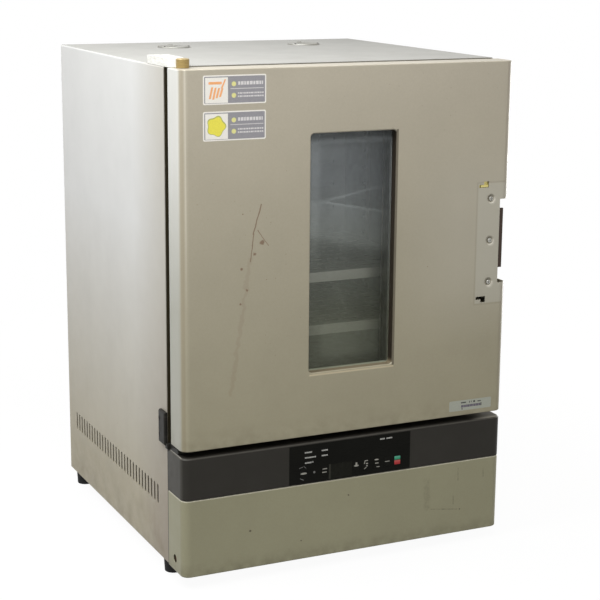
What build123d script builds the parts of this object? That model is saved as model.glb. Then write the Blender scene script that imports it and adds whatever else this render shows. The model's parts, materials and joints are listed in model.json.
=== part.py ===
"""Laboratory drying oven: one solid or one group of like solids per sub-part, in millimetres."""
from build123d import *
import math
import os

# Outer case: a bent sheet over the top and both sides
case_width = 600.0
case_depth = 543.0
case_height = 822.0
case_sheet = 1.2
case_bend_radius = 3.0
panel_play = 0.3
frame_bottom_height = 199.0
pan_lip = 22.0
pan_slot_count = 7
pan_slot_pitch = 40.0
pan_slot_width = 6.0
pan_slot_length = 60.0
louvre_columns = 3
louvre_rows = 9
louvre_length = 44.0
louvre_height = 4.0
louvre_pitch = 11.0

# Rubber feet under the corners
foot_height = 24.5
foot_top_radius = 16.5
foot_bottom_radius = 15.0
foot_bore_radius = 4.5
foot_bore_depth = 6.0
foot_side_inset = 18.0
foot_front_inset = 24.0
foot_back_inset = 34.0

# Vent slots in both sides of the case
vent_width = 6.5
vent_height = 34.0
vent_pitch = 15.45
vent_front_inset = 48.0
vent_back_inset = 40.0
vent_bottom_height = 89.5

# Chamber, its liner and the insulation round it
chamber_side_inset = 75.0
chamber_roof_drop = 60.0
chamber_back_inset = 111.8
chamber_floor_height = 262.0
chamber_corner_radius = 8.0
liner_sheet = 1.0
insulation_play = 1.0
insulation_floor_thickness = 48.0
insulation_back_thickness = 50.0
insulation_front_setback = 14.0

# Air baffle in front of the fan
baffle_rear_gap = 50.0
baffle_sheet = 1.0
baffle_side_gap = 12.0
intake_hole_radius = 6.0
intake_hole_pitch = 17.0
intake_rings = 3
outlet_slot_count = 9
outlet_slot_length = 34.0
outlet_slot_width = 6.0
outlet_slot_pitch = 44.0
outlet_slot_inset = 40.0
baffle_roof_gap = 3.0

# Fan, motor and heater
fan_radius = 65.0
fan_width = 28.0
fan_hub_radius = 11.0
fan_blade_count = 16
fan_blade_thickness = 1.6
fan_disc_thickness = 1.5
fan_back_clearance = 8.0
fan_ring_width = 14.0
fan_blade_depth = 22.0
fan_hub_setback = 6.0
shaft_end_setback = 4.0
shaft_passage_clearance = 3.0
shaft_radius = 5.0
running_clearance = 0.05
motor_radius = 42.0
motor_length = 44.0
motor_edge_radius = 3.0
motor_groove_count = 12
motor_groove_width = 5.0
motor_groove_depth = 3.0
motor_groove_margin = 10.0
motor_cap_thickness = 6.0
shaft_motor_reach = 26.4
motor_bracket_size = 124.0
motor_bracket_sheet = 2.0
motor_bracket_corner = 6.0
standoff_radius = 4.0
standoff_inset = 12.0
heater_ring_radius = 92.0
heater_tube_radius = 4.25
heater_leg_angle = 24.0
probe_radius = 2.4
probe_length = 70.0
probe_spacing = 16.0
probe_offset = 120.0
probe_drop = 70.0
probe_reach_behind = 14.0
heater_collar_radius = 7.0
probe_collar_radius = 5.0
collar_thickness = 3.0
through_hole_clearance = 0.5

# Shelf posts, clips and the two shelves
post_depth = 8.0
post_width = 16.0
post_front_setback = 70.0
post_baffle_gap = 80.0
post_slot_pitch = 31.0
post_slot_height = 5.0
post_slot_margin = 3.0
post_top_margin = 35.0
post_floor_gap = 20.0
post_roof_gap = 40.0
clip_depth = 14.0
clip_width = 12.0
clip_height = 6.0
shelf_front_setback = 45.0
shelf_back_gap = 5.0
shelf_side_clearance = 11.0
shelf_sheet = 1.2
shelf_flange = 17.0
shelf_edge_radius = 1.6
upper_shelf_height = 462.0
lower_shelf_height = 369.0
shelf_hole_margin = 10.0
shelf_hole_length = 24.0
shelf_hole_width = 9.0
shelf_hole_pitch_x = 36.0
shelf_hole_pitch_y = 34.0

# Exhaust ports on top
left_port_inset = 172.0
right_port_inset = 167.0
port_back_inset = 138.0
port_bore_radius = 20.0
port_tube_wall = 1.0
port_flange_radius = 30.0
port_flange_height = 2.6
port_floor_height = 1.0
damper_radius = 23.0
damper_thickness = 1.5
damper_play = 0.3
damper_window_radius = 18.0
damper_rib = 4.0
damper_tab_height = 1.4
damper_tab_width = 10.0
damper_tab_thickness = 3.0
damper_tab_reach = 21.6
damper_rivet_radius = 4.0
damper_rivet_height = 0.6

# Door
door_gap = 18.0
door_thickness = 51.0
door_top_drop = 0.6
door_bottom_height = 212.0
door_sheet = 1.2
door_edge_radius = 14.0
door_rim_radius = 1.5
window_width = 155.5
window_offset = 1.2
window_top_drop = 107.0
window_bottom_height = 320.0
window_lip_radius = 2.5
window_corner_radius = 6.0
window_flare = 22.0
glass_recess = 17.0
glass_thickness = 4.0
glass_margin = 8.0
glass_seal_width = 5.0
plug_depth = 20.0
plug_clearance = 8.0
plug_sheet = 1.0
gasket_width = 16.0
gasket_offset = 11.0
gasket_play = 0.4
wool_play = 0.4

# Hinges on the left of the door
pivot_inset = 20.0
pivot_setback = 32.0
pin_radius = 5.0
pin_length_in_door = 24.0
hinge_pin_floor = 2.0
bush_radius = 10.4
bush_height = 14.5
bush_chamfer = 1.4
hinge_play = 0.5
bracket_thickness = 13.0
bracket_back = 76.0
bracket_side_inset = 0.5
bracket_width = 35.5
bracket_neck = 10.0
bracket_arm_reach = 14.0
bracket_shoulder = 12.0
bracket_screw_insets = (14.0, 44.0)
bracket_screw_length = 8.0
screw_head_sink = 0.4
pivot_block_size = 26.0
pivot_block_height = 22.0
hinge_block_proud = 6.0
hinge_block_depth = 26.0
hinge_block_height = 56.0
hinge_block_rise = 4.0
hinge_block_lead = 2.0
hinge_block_chamfer = 2.0
hinge_screw_setback = 19.0
hinge_screw_length = 5.0
hinge_foot_thickness = 8.0
hinge_foot_reach = 44.0
hinge_foot_width = 34.0
hinge_foot_inset = 2.0
hinge_web_length = 9.0
hinge_web_proud = 3.5
hinge_washer_radius = 9.5
hinge_washer_thickness = 2.0

# Handle zone at the right of the door, where the grip has been taken off
handle_screw_inset = 36.5
handle_screw_heights = (590.0, 518.0, 445.5)
dimple_radius = 8.0
dimple_floor_radius = 4.2
dimple_depth = 2.4
notch_width = 19.0
notch_bottom_height = 443.0
notch_height = 145.5
notch_depth = 36.0
handle_slot_inset = 42.0
handle_slot_width = 19.0
handle_slot_height = 10.5
upper_slot_height = 609.5
lower_slot_height = 410.5
handle_bracket_width = 40.0
handle_bracket_sheet = 1.5
bracket_slot_margin = 6.0
bracket_screw_margin = 10.0
handle_screw_length = 9.0
latch_bar_height = 103.0
latch_bar_bottom_height = 468.0
latch_bar_sheet = 4.0
latch_bar_width = 21.0
latch_bar_edge_inset = 7.0
latch_bar_setback = 8.0
latch_pivot_inset = 34.0
latch_pivot_depth = 26.0
latch_pin_radius = 3.0
latch_ear_spacing = 60.0
latch_claw_reach = 7.0
latch_claw_width = 6.0
latch_claw_height = 24.0
latch_hook_width = 5.0
latch_hook_depth = 4.0
latch_slot_play = 3.0
latch_swing_room = 12.0
strike_sheet = 1.5
strike_margin = 14.0

# Control band and lower front panel
panel_drop = 3.5
panel_height = 132.5
panel_rim_radius = 2.5
band_gap = 0.6
band_height = 71.0
band_bevel = 2.5
unit_sheet = 1.2
side_hole_width = 14.0
side_hole_height = 14.0
side_hole_setback = 31.0
side_hole_bottom_height = 15.5
side_tab_sheet = 2.0
side_tab_width = 18.0
side_tab_height = 22.0
side_tab_gap = 0.2
side_screw_length = 6.0
overlay_left_inset = 189.0
overlay_width = 228.0
overlay_height = 66.0
overlay_bottom_margin = 1.4
overlay_thickness = 0.6
overlay_backing_margin = 8.0
display_left_inset = 262.0
display_width = 44.0
display_height = 26.0
display_bottom_height = 132.0
display_thickness = 2.0
key_names = ("menu", "timer", "shift", "down", "up", "enter", "power")
key_insets = (215.0, 253.8, 313.3, 330.5, 353.0, 373.0, 392.5)
key_width = 11.5
key_height = 16.0
key_centre_height = 148.0
key_play = 0.3
key_proud = 0.5
key_depth = 4.0
key_travel = 0.7
key_flange = 1.0
board_sheet = 1.6
board_setback = 7.0
board_margin = 5.0

# Electrical parts in the base
board_post_height = 14.0
power_board_width = 150.0
power_board_depth = 100.0
power_board_inset = 80.0
power_board_setback = 60.0
power_board_sheet = 2.0
power_board_post_radius = 3.0
power_board_post_inset = 6.0
transformer_size = (50.0, 44.0, 38.0)
transformer_place = (12.0, 18.0)
coil_size = (34.0, 60.0, 24.0)
coil_place = (20.0, 10.0)
coil_rise = 6.0
relay_count = 3
relay_size = (17.0, 28.0, 16.0)
relay_place = (76.0, 60.0)
relay_pitch = 22.0
capacitor_count = 4
capacitor_radius = 6.0
capacitor_height = 22.0
capacitor_place = (80.0, 26.0)
capacitor_pitch = 16.0
terminal_count = 5
terminal_pitch = 16.0
terminal_size = 26.0
terminal_setback = 90.0
breaker_setback = 60.0
breaker_bottom_height = 24.0
breaker_depth = 46.0
breaker_height = 58.0
breaker_body_width = 50.0
breaker_bezel_proud = 6.0
breaker_bezel_rim = 5.0
bezel_floor = 2.0
lever_width = 10.0
lever_radius = 15.0
lever_height = 8.0
lever_swing = 24.0
gland_inset = 78.0
gland_height = 58.0
gland_radius = 12.0
gland_bore_radius = 4.5
gland_reach = 18.0
gland_thread_radius = 10.0

# Fasteners
screw_head_radius = 4.0
screw_head_height = 2.4
screw_shank_radius = 2.0
screw_hole_play = 0.1

# Places worked out from the sizes above
case_left = (hinge_block_proud - breaker_bezel_proud - case_width) / 2
case_right = case_left + case_width
front_reach = door_gap + door_thickness + overlay_thickness + key_proud
case_front = (front_reach - case_depth - gland_reach) / 2
case_back = case_front + case_depth
case_base = foot_height
case_top = case_base + case_height
mid_x = (case_left + case_right) / 2
inner_left = case_left + case_sheet
inner_right = case_right - case_sheet

door_back = case_front - door_gap
door_front = door_back - door_thickness
door_top = case_top - door_top_drop
door_bottom = case_base + door_bottom_height
panel_bottom = case_base - panel_drop
panel_top = panel_bottom + panel_height
band_bottom = panel_top + band_gap
band_top = band_bottom + band_height

frame_back = case_front + case_sheet
chamber_left = case_left + chamber_side_inset
chamber_right = case_right - chamber_side_inset
chamber_floor = case_base + chamber_floor_height
chamber_roof = case_top - chamber_roof_drop
chamber_rear = case_back - chamber_back_inset
liner_rear = chamber_rear + liner_sheet
divider_top = chamber_floor - liner_sheet - insulation_floor_thickness
divider_bottom = divider_top - case_sheet
baffle_front = chamber_rear - baffle_rear_gap
baffle_back = baffle_front + baffle_sheet
fan_height = (chamber_floor + chamber_roof) / 2
bracket_front = liner_rear + insulation_back_thickness
motor_front = bracket_front + motor_bracket_sheet

window_left = mid_x + window_offset - window_width / 2
window_right = window_left + window_width
window_bottom = case_base + window_bottom_height
window_top = case_top - window_top_drop
glass_front = door_front + glass_recess
plug_face = case_front + plug_depth

pivot_x = case_left + pivot_inset
pivot_y = case_front - pivot_setback
hinge_foot_top = door_bottom - hinge_play - hinge_washer_thickness
hinge_foot_low = hinge_foot_top - hinge_foot_thickness
hinge_block_low = hinge_foot_low + hinge_block_rise
hinge_screw_y = case_front + hinge_screw_setback
latch_x = case_right - latch_pivot_inset
latch_y = door_front + latch_pivot_depth
latch_middle = case_base + latch_bar_bottom_height + latch_bar_height / 2
port_y = case_back - port_back_inset
overlay_left = case_left + overlay_left_inset
overlay_right = overlay_left + overlay_width
overlay_bottom = band_bottom + overlay_bottom_margin
overlay_top = overlay_bottom + overlay_height
overlay_front = door_front - overlay_thickness
key_middle = case_base + key_centre_height
key_back = door_front + key_depth
board_front = door_front + board_setback
base_floor = case_base + case_sheet
breaker_front = case_front + breaker_setback
breaker_bottom = case_base + breaker_bottom_height
breaker_middle_y = breaker_front + breaker_depth / 2
breaker_middle_z = breaker_bottom + breaker_height / 2
lever_x = case_right + breaker_bezel_proud - lever_radius - 0.5


def block(x, y, z):
    """A box from its low and high limits along each axis."""
    size = (x[1] - x[0], y[1] - y[0], z[1] - z[0])
    return Pos((x[0] + x[1]) / 2, (y[0] + y[1]) / 2, (z[0] + z[1]) / 2) * Box(*size)


def rounded(x, y, z, axis, radius):
    """A box with the four edges along one axis rounded."""
    body = block(x, y, z)
    return fillet(body.edges().filter_by(axis), radius)


def rod_z(x, y, z, radius):
    """An upright round bar between two heights."""
    return Pos(x, y, (z[0] + z[1]) / 2) * Cylinder(radius, z[1] - z[0])


def rod_y(x, y, z, radius):
    """A round bar along the depth between two places."""
    return Pos(x, (y[0] + y[1]) / 2, z) * Rot(90, 0, 0) * Cylinder(radius, y[1] - y[0])


def rod_x(x, y, z, radius):
    """A round bar across the width between two places."""
    return Pos((x[0] + x[1]) / 2, y, z) * Rot(0, 90, 0) * Cylinder(radius, x[1] - x[0])


def screw(head_radius=screw_head_radius, shank=8.0):
    """A domed cross-head screw whose head sits on Z = 0 and whose shank points down."""
    head = Pos(0, 0, screw_head_height / 2) * Cylinder(head_radius, screw_head_height)
    head = fillet(head.edges().group_by(Axis.Z)[-1], screw_head_height * 0.45)
    slot_length = head_radius * 1.2
    slot_depth = screw_head_height * 0.6
    slot = Pos(0, 0, screw_head_height) * Box(slot_length, head_radius * 0.25, 2 * slot_depth)
    stem = Pos(0, 0, -shank / 2) * Cylinder(screw_shank_radius, shank)
    return head + stem - slot - Rot(0, 0, 90) * slot


def facing_front(x, y, z):
    """Turns a screw so that its head looks to the front."""
    return Pos(x, y, z) * Rot(90, 0, 0)


def facing_left(x, y, z):
    """Turns a screw so that its head looks to the left."""
    return Pos(x, y, z) * Rot(0, -90, 0)


def facing_right(x, y, z):
    """Turns a screw so that its head looks to the right."""
    return Pos(x, y, z) * Rot(0, 90, 0)


def centred(count, pitch):
    """Places of a row of like features about its middle."""
    return [(i - (count - 1) / 2) * pitch for i in range(count)]


def fitting_count(low, high, pitch):
    """How many features at one pitch fit between two places."""
    return int((high - low) / pitch) + 1


def port_places():
    """The two exhaust ports, left and right."""
    return [case_left + left_port_inset, case_right - right_port_inset]


def foot_places():
    """The four feet."""
    xs = (case_left + foot_side_inset, case_right - foot_side_inset)
    ys = (case_front + foot_front_inset, case_back - foot_back_inset)
    return [(x, y) for x in xs for y in ys]


def bracket_screw_places():
    """The two screws of the top hinge bracket."""
    return [(pivot_x, case_front + bracket_back - inset) for inset in bracket_screw_insets]


def hinge_screw_heights():
    """The two screws in the side of the lower hinge block."""
    middle = hinge_block_low + hinge_block_height / 2
    return [middle - hinge_block_height / 4, middle + hinge_block_height / 4]


def make_outer_case():
    """Bent sheet over the top and both sides, with its vent slots and port holes."""
    shell = block((case_left, case_right), (case_front, case_back), (case_base, case_top))
    shell = fillet(shell.edges().filter_by(Axis.Y).group_by(Axis.Z)[-1], case_bend_radius)
    hollow = block(
        (inner_left, inner_right), (case_front - 1, case_back + 1), (case_base - 1, case_top - case_sheet)
    )
    hollow = fillet(hollow.edges().filter_by(Axis.Y).group_by(Axis.Z)[-1], case_bend_radius - case_sheet)
    shell -= hollow
    cuts = []
    first = case_front + vent_front_inset
    for i in range(fitting_count(first, case_back - vent_back_inset, vent_pitch)):
        y = first + i * vent_pitch
        z = case_base + vent_bottom_height
        cuts.append(
            rounded(
                (case_left - 1, case_right + 1),
                (y - vent_width / 2, y + vent_width / 2),
                (z, z + vent_height),
                Axis.X,
                vent_width * 0.49,
            )
        )
    for x in port_places():
        hole = port_bore_radius + port_tube_wall + panel_play
        cuts.append(rod_z(x, port_y, (case_top - 5, case_top + 5), hole))
    for x, y in bracket_screw_places():
        cuts.append(rod_z(x, y, (case_top - 5, case_top + 5), screw_shank_radius + screw_hole_play))
    for z in hinge_screw_heights():
        span = (case_left - 1, inner_left + 1)
        cuts.append(rod_x(span, hinge_screw_y, z, screw_shank_radius + screw_hole_play))
    cuts.append(
        block(
            (inner_right - 1, case_right + 1),
            (breaker_front - panel_play, breaker_front + breaker_depth + panel_play),
            (breaker_bottom - panel_play, breaker_bottom + breaker_height + panel_play),
        )
    )
    return shell - cuts


def make_base_pan():
    """Bottom sheet with turned-up edges and air slots."""
    pan = block((inner_left, inner_right), (case_front, case_back), (case_base, case_base + pan_lip))
    pan -= block(
        (inner_left + case_sheet, inner_right - case_sheet),
        (case_front + case_sheet, case_back - case_sheet),
        (case_base + case_sheet, case_base + pan_lip + 1),
    )
    cuts = []
    for x in centred(pan_slot_count, pan_slot_pitch):
        for y in centred(2, pan_slot_length * 1.5):
            middle_y = (case_front + case_back) / 2 + y
            cuts.append(
                block(
                    (mid_x + x - pan_slot_width / 2, mid_x + x + pan_slot_width / 2),
                    (middle_y - pan_slot_length / 2, middle_y + pan_slot_length / 2),
                    (case_base - 1, case_base + case_sheet + 1),
                )
            )
    for x, y in foot_places():
        cuts.append(rod_z(x, y, (case_base - 1, case_base + 5), screw_shank_radius + screw_hole_play))
    return pan - cuts


def make_back_panel():
    """Flat rear sheet with louvre slots by the motor and the hole for the cable gland."""
    panel = block(
        (inner_left + panel_play, inner_right - panel_play),
        (case_back - case_sheet, case_back),
        (case_base + pan_lip + panel_play, case_top - case_sheet - case_bend_radius),
    )
    cuts = []
    for x in centred(louvre_columns, louvre_length * 1.2):
        for z in centred(louvre_rows, louvre_pitch):
            cuts.append(
                block(
                    (mid_x + x - louvre_length / 2, mid_x + x + louvre_length / 2),
                    (case_back - 5, case_back + 1),
                    (fan_height + z - louvre_height / 2, fan_height + z + louvre_height / 2),
                )
            )
    cuts.append(rod_y(case_right - gland_inset, (case_back - 5, case_back + 5), case_base + gland_height,
                      gland_thread_radius + panel_play))
    return panel - cuts


def make_front_frame():
    """Front sheet round the chamber, with the slot that the latch claw enters."""
    frame = block(
        (inner_left + panel_play, inner_right - panel_play),
        (case_front, frame_back),
        (case_base + frame_bottom_height, case_top - case_sheet - panel_play),
    )
    top_corners = frame.edges().filter_by(Axis.Y).group_by(Axis.Z)[-1]
    frame = fillet(top_corners, case_bend_radius)
    opening = rounded(
        (chamber_left, chamber_right), (case_front - 1, frame_back + 1), (chamber_floor, chamber_roof),
        Axis.Y, chamber_corner_radius,
    )
    return frame - opening - latch_slot((case_front - 1, frame_back + 1), latch_swing_room)


def latch_slot(y, room):
    """A slot round the latch claw, with room to its right for the claw's swing."""
    half_width = latch_claw_width / 2 + latch_slot_play
    half_height = latch_claw_height / 2 + latch_slot_play
    return block(
        (latch_x - half_width, latch_x + half_width + room), y,
        (latch_middle - half_height, latch_middle + half_height),
    )


def make_strike_plate():
    """Keeper plate behind the front frame's slot, which the turned claw hooks behind."""
    half_height = latch_claw_height / 2 + strike_margin
    plate = block(
        (latch_x - strike_margin, latch_x + latch_swing_room + strike_margin),
        (frame_back, frame_back + strike_sheet),
        (latch_middle - half_height, latch_middle + half_height),
    )
    return plate - latch_slot((frame_back - 1, frame_back + strike_sheet + 1), latch_hook_width)


def make_divider():
    """Sheet that carries the chamber and closes the base compartment."""
    return block(
        (inner_left, inner_right), (frame_back, case_back - case_sheet), (divider_bottom, divider_top)
    )


def make_chamber_liner():
    """Stainless chamber, open to the front, with its holes for ports, fan, heater and probes."""
    shell = rounded(
        (chamber_left - liner_sheet, chamber_right + liner_sheet),
        (frame_back, liner_rear),
        (chamber_floor - liner_sheet, chamber_roof + liner_sheet),
        Axis.Y, chamber_corner_radius + liner_sheet,
    )
    shell -= rounded(
        (chamber_left, chamber_right), (frame_back - 1, chamber_rear), (chamber_floor, chamber_roof),
        Axis.Y, chamber_corner_radius,
    )
    passage = shaft_radius + shaft_passage_clearance
    cuts = [rod_y(mid_x, (chamber_rear - 1, liner_rear + 1), fan_height, passage)]
    for x in port_places():
        cuts.append(rod_z(x, port_y, (chamber_roof - 1, chamber_roof + 5), port_bore_radius))
    for x, z in heater_leg_places():
        hole = heater_tube_radius + through_hole_clearance
        cuts.append(rod_y(x, (chamber_rear - 1, liner_rear + 1), z, hole))
    for x, z in probe_places():
        hole = probe_radius + through_hole_clearance
        cuts.append(rod_y(x, (chamber_rear - 1, liner_rear + 1), z, hole))
    return shell - cuts


def insulation_slab(y):
    """A slab of wool that fills the case over the divider, between two depths."""
    return block(
        (inner_left + insulation_play, inner_right - insulation_play), y,
        (divider_top, case_top - case_sheet - insulation_play),
    )


def make_chamber_wool():
    """Wool wrapped round the chamber, with the two exhaust tubes through it."""
    wrap = insulation_slab((frame_back + insulation_front_setback, liner_rear))
    wrap -= rounded(
        (chamber_left - liner_sheet, chamber_right + liner_sheet), (frame_back, liner_rear + 1),
        (chamber_floor - liner_sheet, chamber_roof + liner_sheet),
        Axis.Y, chamber_corner_radius + liner_sheet,
    )
    hole = port_bore_radius + port_tube_wall + insulation_play
    return wrap - [rod_z(x, port_y, (chamber_roof, case_top), hole) for x in port_places()]


def make_rear_wool():
    """Slab behind the chamber, with holes for the shaft, standoffs, heater legs and probes."""
    slab = insulation_slab((liner_rear, bracket_front))
    span = (liner_rear - 1, bracket_front + 1)
    passage = shaft_radius + shaft_passage_clearance
    cuts = [rod_y(mid_x, span, fan_height, passage + insulation_play)]
    cuts += [rod_y(x, span, z, standoff_radius + insulation_play) for x, z in standoff_places()]
    cuts += [rod_y(x, span, z, heater_collar_radius + insulation_play) for x, z in heater_leg_places()]
    cuts += [rod_y(x, span, z, probe_collar_radius + insulation_play) for x, z in probe_places()]
    return slab - cuts


def standoff_places():
    """Corners of the motor bracket, as width and height."""
    reach = motor_bracket_size / 2 - standoff_inset
    return [(mid_x + i * reach, fan_height + j * reach) for i in (-1, 1) for j in (-1, 1)]


def heater_leg_places():
    """Where the heater's two legs leave its ring, as width and height."""
    places = []
    for side in (-1, 1):
        angle = math.radians(270 + side * heater_leg_angle / 2)
        x = mid_x + heater_ring_radius * math.cos(angle)
        places.append((x, fan_height + heater_ring_radius * math.sin(angle)))
    return places


def probe_places():
    """The control probe and the overheat probe, as width and height."""
    return [(mid_x + probe_offset + i * probe_spacing, chamber_roof - probe_drop) for i in range(2)]


def make_rear_baffle():
    """Stainless sheet in front of the fan, with an intake of round holes and side outlets."""
    left = chamber_left + baffle_side_gap
    right = chamber_right - baffle_side_gap
    span_z = (chamber_floor, chamber_roof - baffle_roof_gap)
    sheet = block((left, right), (baffle_front, baffle_back), span_z)
    for low in (left, right - baffle_sheet):
        sheet += block((low, low + baffle_sheet), (baffle_front, chamber_rear), span_z)
    cuts = [rod_y(mid_x, (baffle_front - 1, baffle_back + 1), fan_height, intake_hole_radius)]
    for ring in range(1, intake_rings + 1):
        for i in range(6 * ring):
            angle = 2 * math.pi * i / (6 * ring)
            x = mid_x + ring * intake_hole_pitch * math.cos(angle)
            z = fan_height + ring * intake_hole_pitch * math.sin(angle)
            cuts.append(rod_y(x, (baffle_front - 1, baffle_back + 1), z, intake_hole_radius))
    for side in (left + outlet_slot_inset, right - outlet_slot_inset):
        for z in centred(outlet_slot_count, outlet_slot_pitch):
            cuts.append(
                block(
                    (side - outlet_slot_length / 2, side + outlet_slot_length / 2),
                    (baffle_front - 1, baffle_back + 1),
                    (fan_height + z - outlet_slot_width / 2, fan_height + z + outlet_slot_width / 2),
                )
            )
    for x, z in probe_places():
        hole = probe_radius + through_hole_clearance
        cuts.append(rod_y(x, (baffle_front - 1, baffle_back + 1), z, hole))
    return sheet - cuts


def fan_span():
    """Depth limits of the impeller, in front of the chamber's rear wall."""
    back = chamber_rear - fan_back_clearance
    return back - fan_width, back


def make_fan_impeller():
    """Centrifugal wheel: hub, back disc, straight blades and a front ring."""
    front, back = fan_span()
    wheel = rod_y(mid_x, (back - fan_disc_thickness, back), fan_height, fan_radius)
    wheel += rod_y(mid_x, (front + fan_hub_setback, back), fan_height, fan_hub_radius)
    ring = rod_y(mid_x, (front, front + fan_disc_thickness), fan_height, fan_radius)
    ring -= rod_y(mid_x, (front - 1, front + 3), fan_height, fan_radius - fan_ring_width)
    wheel += ring
    blade_inner = fan_radius - fan_blade_depth
    blades = []
    for i in range(fan_blade_count):
        blade = block(
            (blade_inner, fan_radius - 0.4), (front + 0.2, back - 0.2),
            (-fan_blade_thickness / 2, fan_blade_thickness / 2),
        )
        blades.append(Pos(mid_x, 0, fan_height) * Rot(0, 360 * i / fan_blade_count, 0) * blade)
    wheel += blades
    return wheel - rod_y(mid_x, (front, back + 1), fan_height, shaft_radius)


def make_fan_shaft():
    """Shaft from the impeller back into the motor."""
    front, _ = fan_span()
    span = (front + shaft_end_setback, motor_front + shaft_motor_reach)
    return rod_y(mid_x, span, fan_height, shaft_radius)


def make_motor_bracket():
    """Plate on four standoffs that reach through the rear insulation to the liner."""
    half = motor_bracket_size / 2
    plate = rounded(
        (mid_x - half, mid_x + half), (bracket_front, motor_front), (fan_height - half, fan_height + half),
        Axis.Y, motor_bracket_corner,
    )
    passage = shaft_radius + shaft_passage_clearance
    plate -= rod_y(mid_x, (bracket_front - 1, motor_front + 1), fan_height, passage)
    posts = [rod_y(x, (liner_rear, bracket_front), z, standoff_radius) for x, z in standoff_places()]
    return plate + posts


def make_fan_motor():
    """Round motor with a rear cap and the bore that its shaft runs in."""
    back = motor_front + motor_length
    body = rod_y(mid_x, (motor_front, back), fan_height, motor_radius)
    body = fillet(body.edges().filter_by(GeomType.CIRCLE), motor_edge_radius)
    grooves = []
    for i in range(motor_groove_count):
        groove = block(
            (motor_radius - motor_groove_depth, motor_radius + 2),
            (motor_front + motor_groove_margin, back - motor_groove_margin),
            (-motor_groove_width / 2, motor_groove_width / 2),
        )
        grooves.append(Pos(mid_x, 0, fan_height) * Rot(0, 360 * i / motor_groove_count, 0) * groove)
    bore_span = (motor_front - 1, back - motor_cap_thickness)
    bore = rod_y(mid_x, bore_span, fan_height, shaft_radius + running_clearance)
    return body - grooves - bore


def make_heater():
    """Sheathed heater: an open ring round the impeller with two legs to the rear."""
    middle_y = sum(fan_span()) / 2
    ring = Pos(mid_x, middle_y, fan_height) * Rot(90, 0, 0) * Torus(heater_ring_radius, heater_tube_radius)
    half_gap = math.radians(heater_leg_angle / 2)
    reach = heater_ring_radius + 3 * heater_tube_radius
    edge = reach * math.tan(half_gap)
    wedge = make_face(Polyline((0, 0), (-edge, -reach), (edge, -reach), close=True))
    wedge = extrude(Plane.XZ * wedge, amount=3 * heater_tube_radius, both=True)
    ring -= Pos(mid_x, middle_y, fan_height) * wedge
    for x, z in heater_leg_places():
        ring += rod_y(x, (middle_y, bracket_front + 10), z, heater_tube_radius)
        ring += rod_y(x, (liner_rear, liner_rear + collar_thickness), z, heater_collar_radius)
        ring += Pos(x, middle_y, z) * Sphere(heater_tube_radius)
    return ring


def make_temperature_probes():
    """Two thin probe rods through the rear wall, each with a collar on the liner."""
    end = liner_rear + probe_reach_behind
    rods = []
    for x, z in probe_places():
        rod = rod_y(x, (end - probe_length, end), z, probe_radius)
        rods.append(rod + rod_y(x, (liner_rear, liner_rear + collar_thickness), z, probe_collar_radius))
    return rods[0] + rods[1:]


def post_places():
    """The four shelf posts, as the wall's side and the post's low depth."""
    depths = (frame_back + post_front_setback, baffle_front - post_baffle_gap)
    return [(side, y) for side in (-1, 1) for y in depths]


def wall_span(side, low, high):
    """A width span measured inwards from the chamber's left (-1) or right (1) wall."""
    if side < 0:
        return chamber_left + low, chamber_left + high
    return chamber_right - high, chamber_right - low


def make_shelf_posts():
    """Slotted posts on the chamber's side walls."""
    solids = []
    low = chamber_floor + post_floor_gap
    high = chamber_roof - post_roof_gap
    first = case_base + lower_shelf_height - shelf_flange - clip_height
    first -= int((first - low) / post_slot_pitch) * post_slot_pitch
    count = fitting_count(first, high - post_top_margin, post_slot_pitch)
    for side, y in post_places():
        post = block(wall_span(side, 0, post_depth), (y, y + post_width), (low, high))
        post -= block(
            wall_span(side, -1, post_depth - liner_sheet), (y + liner_sheet, y + post_width - liner_sheet),
            (chamber_floor, chamber_roof),
        )
        cuts = []
        for i in range(count):
            z = first + i * post_slot_pitch
            cuts.append(
                block(
                    wall_span(side, post_depth - 2, post_depth + 1),
                    (y + post_slot_margin, y + post_width - post_slot_margin),
                    (z, z + post_slot_height),
                )
            )
        solids.append(post - cuts)
    return solids[0] + solids[1:]


def make_shelf_clips():
    """Clips on the posts that the shelves lie on."""
    solids = []
    for top in (upper_shelf_height, lower_shelf_height):
        rest = case_base + top - shelf_flange
        for side, y in post_places():
            middle = y + post_width / 2
            solids.append(
                block(
                    wall_span(side, post_depth, post_depth + clip_depth),
                    (middle - clip_width / 2, middle + clip_width / 2),
                    (rest - clip_height, rest - 0.1),
                )
            )
    return solids[0] + solids[1:]


def make_shelf(height):
    """Punched sheet shelf with its four edges turned down."""
    left = chamber_left + shelf_side_clearance
    right = chamber_right - shelf_side_clearance
    front = frame_back + shelf_front_setback
    back = baffle_front - shelf_back_gap
    top = case_base + height
    tray = block((left, right), (front, back), (top - shelf_flange, top))
    tray = fillet(tray.edges().group_by(Axis.Z)[-1], shelf_edge_radius)
    tray -= block(
        (left + shelf_sheet, right - shelf_sheet), (front + shelf_sheet, back - shelf_sheet),
        (top - shelf_flange - 1, top - shelf_sheet),
    )
    cuts = []
    margin = 2 * shelf_hole_margin
    columns = fitting_count(margin + shelf_hole_length, right - left, shelf_hole_pitch_x)
    rows = fitting_count(margin + shelf_hole_width, back - front, shelf_hole_pitch_y)
    for x in centred(columns, shelf_hole_pitch_x):
        for y in centred(rows, shelf_hole_pitch_y):
            middle = (front + back) / 2 + y
            cuts.append(
                block(
                    (mid_x + x - shelf_hole_length / 2, mid_x + x + shelf_hole_length / 2),
                    (middle - shelf_hole_width / 2, middle + shelf_hole_width / 2),
                    (top - shelf_sheet - 1, top + 1),
                )
            )
    return tray - cuts


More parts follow.
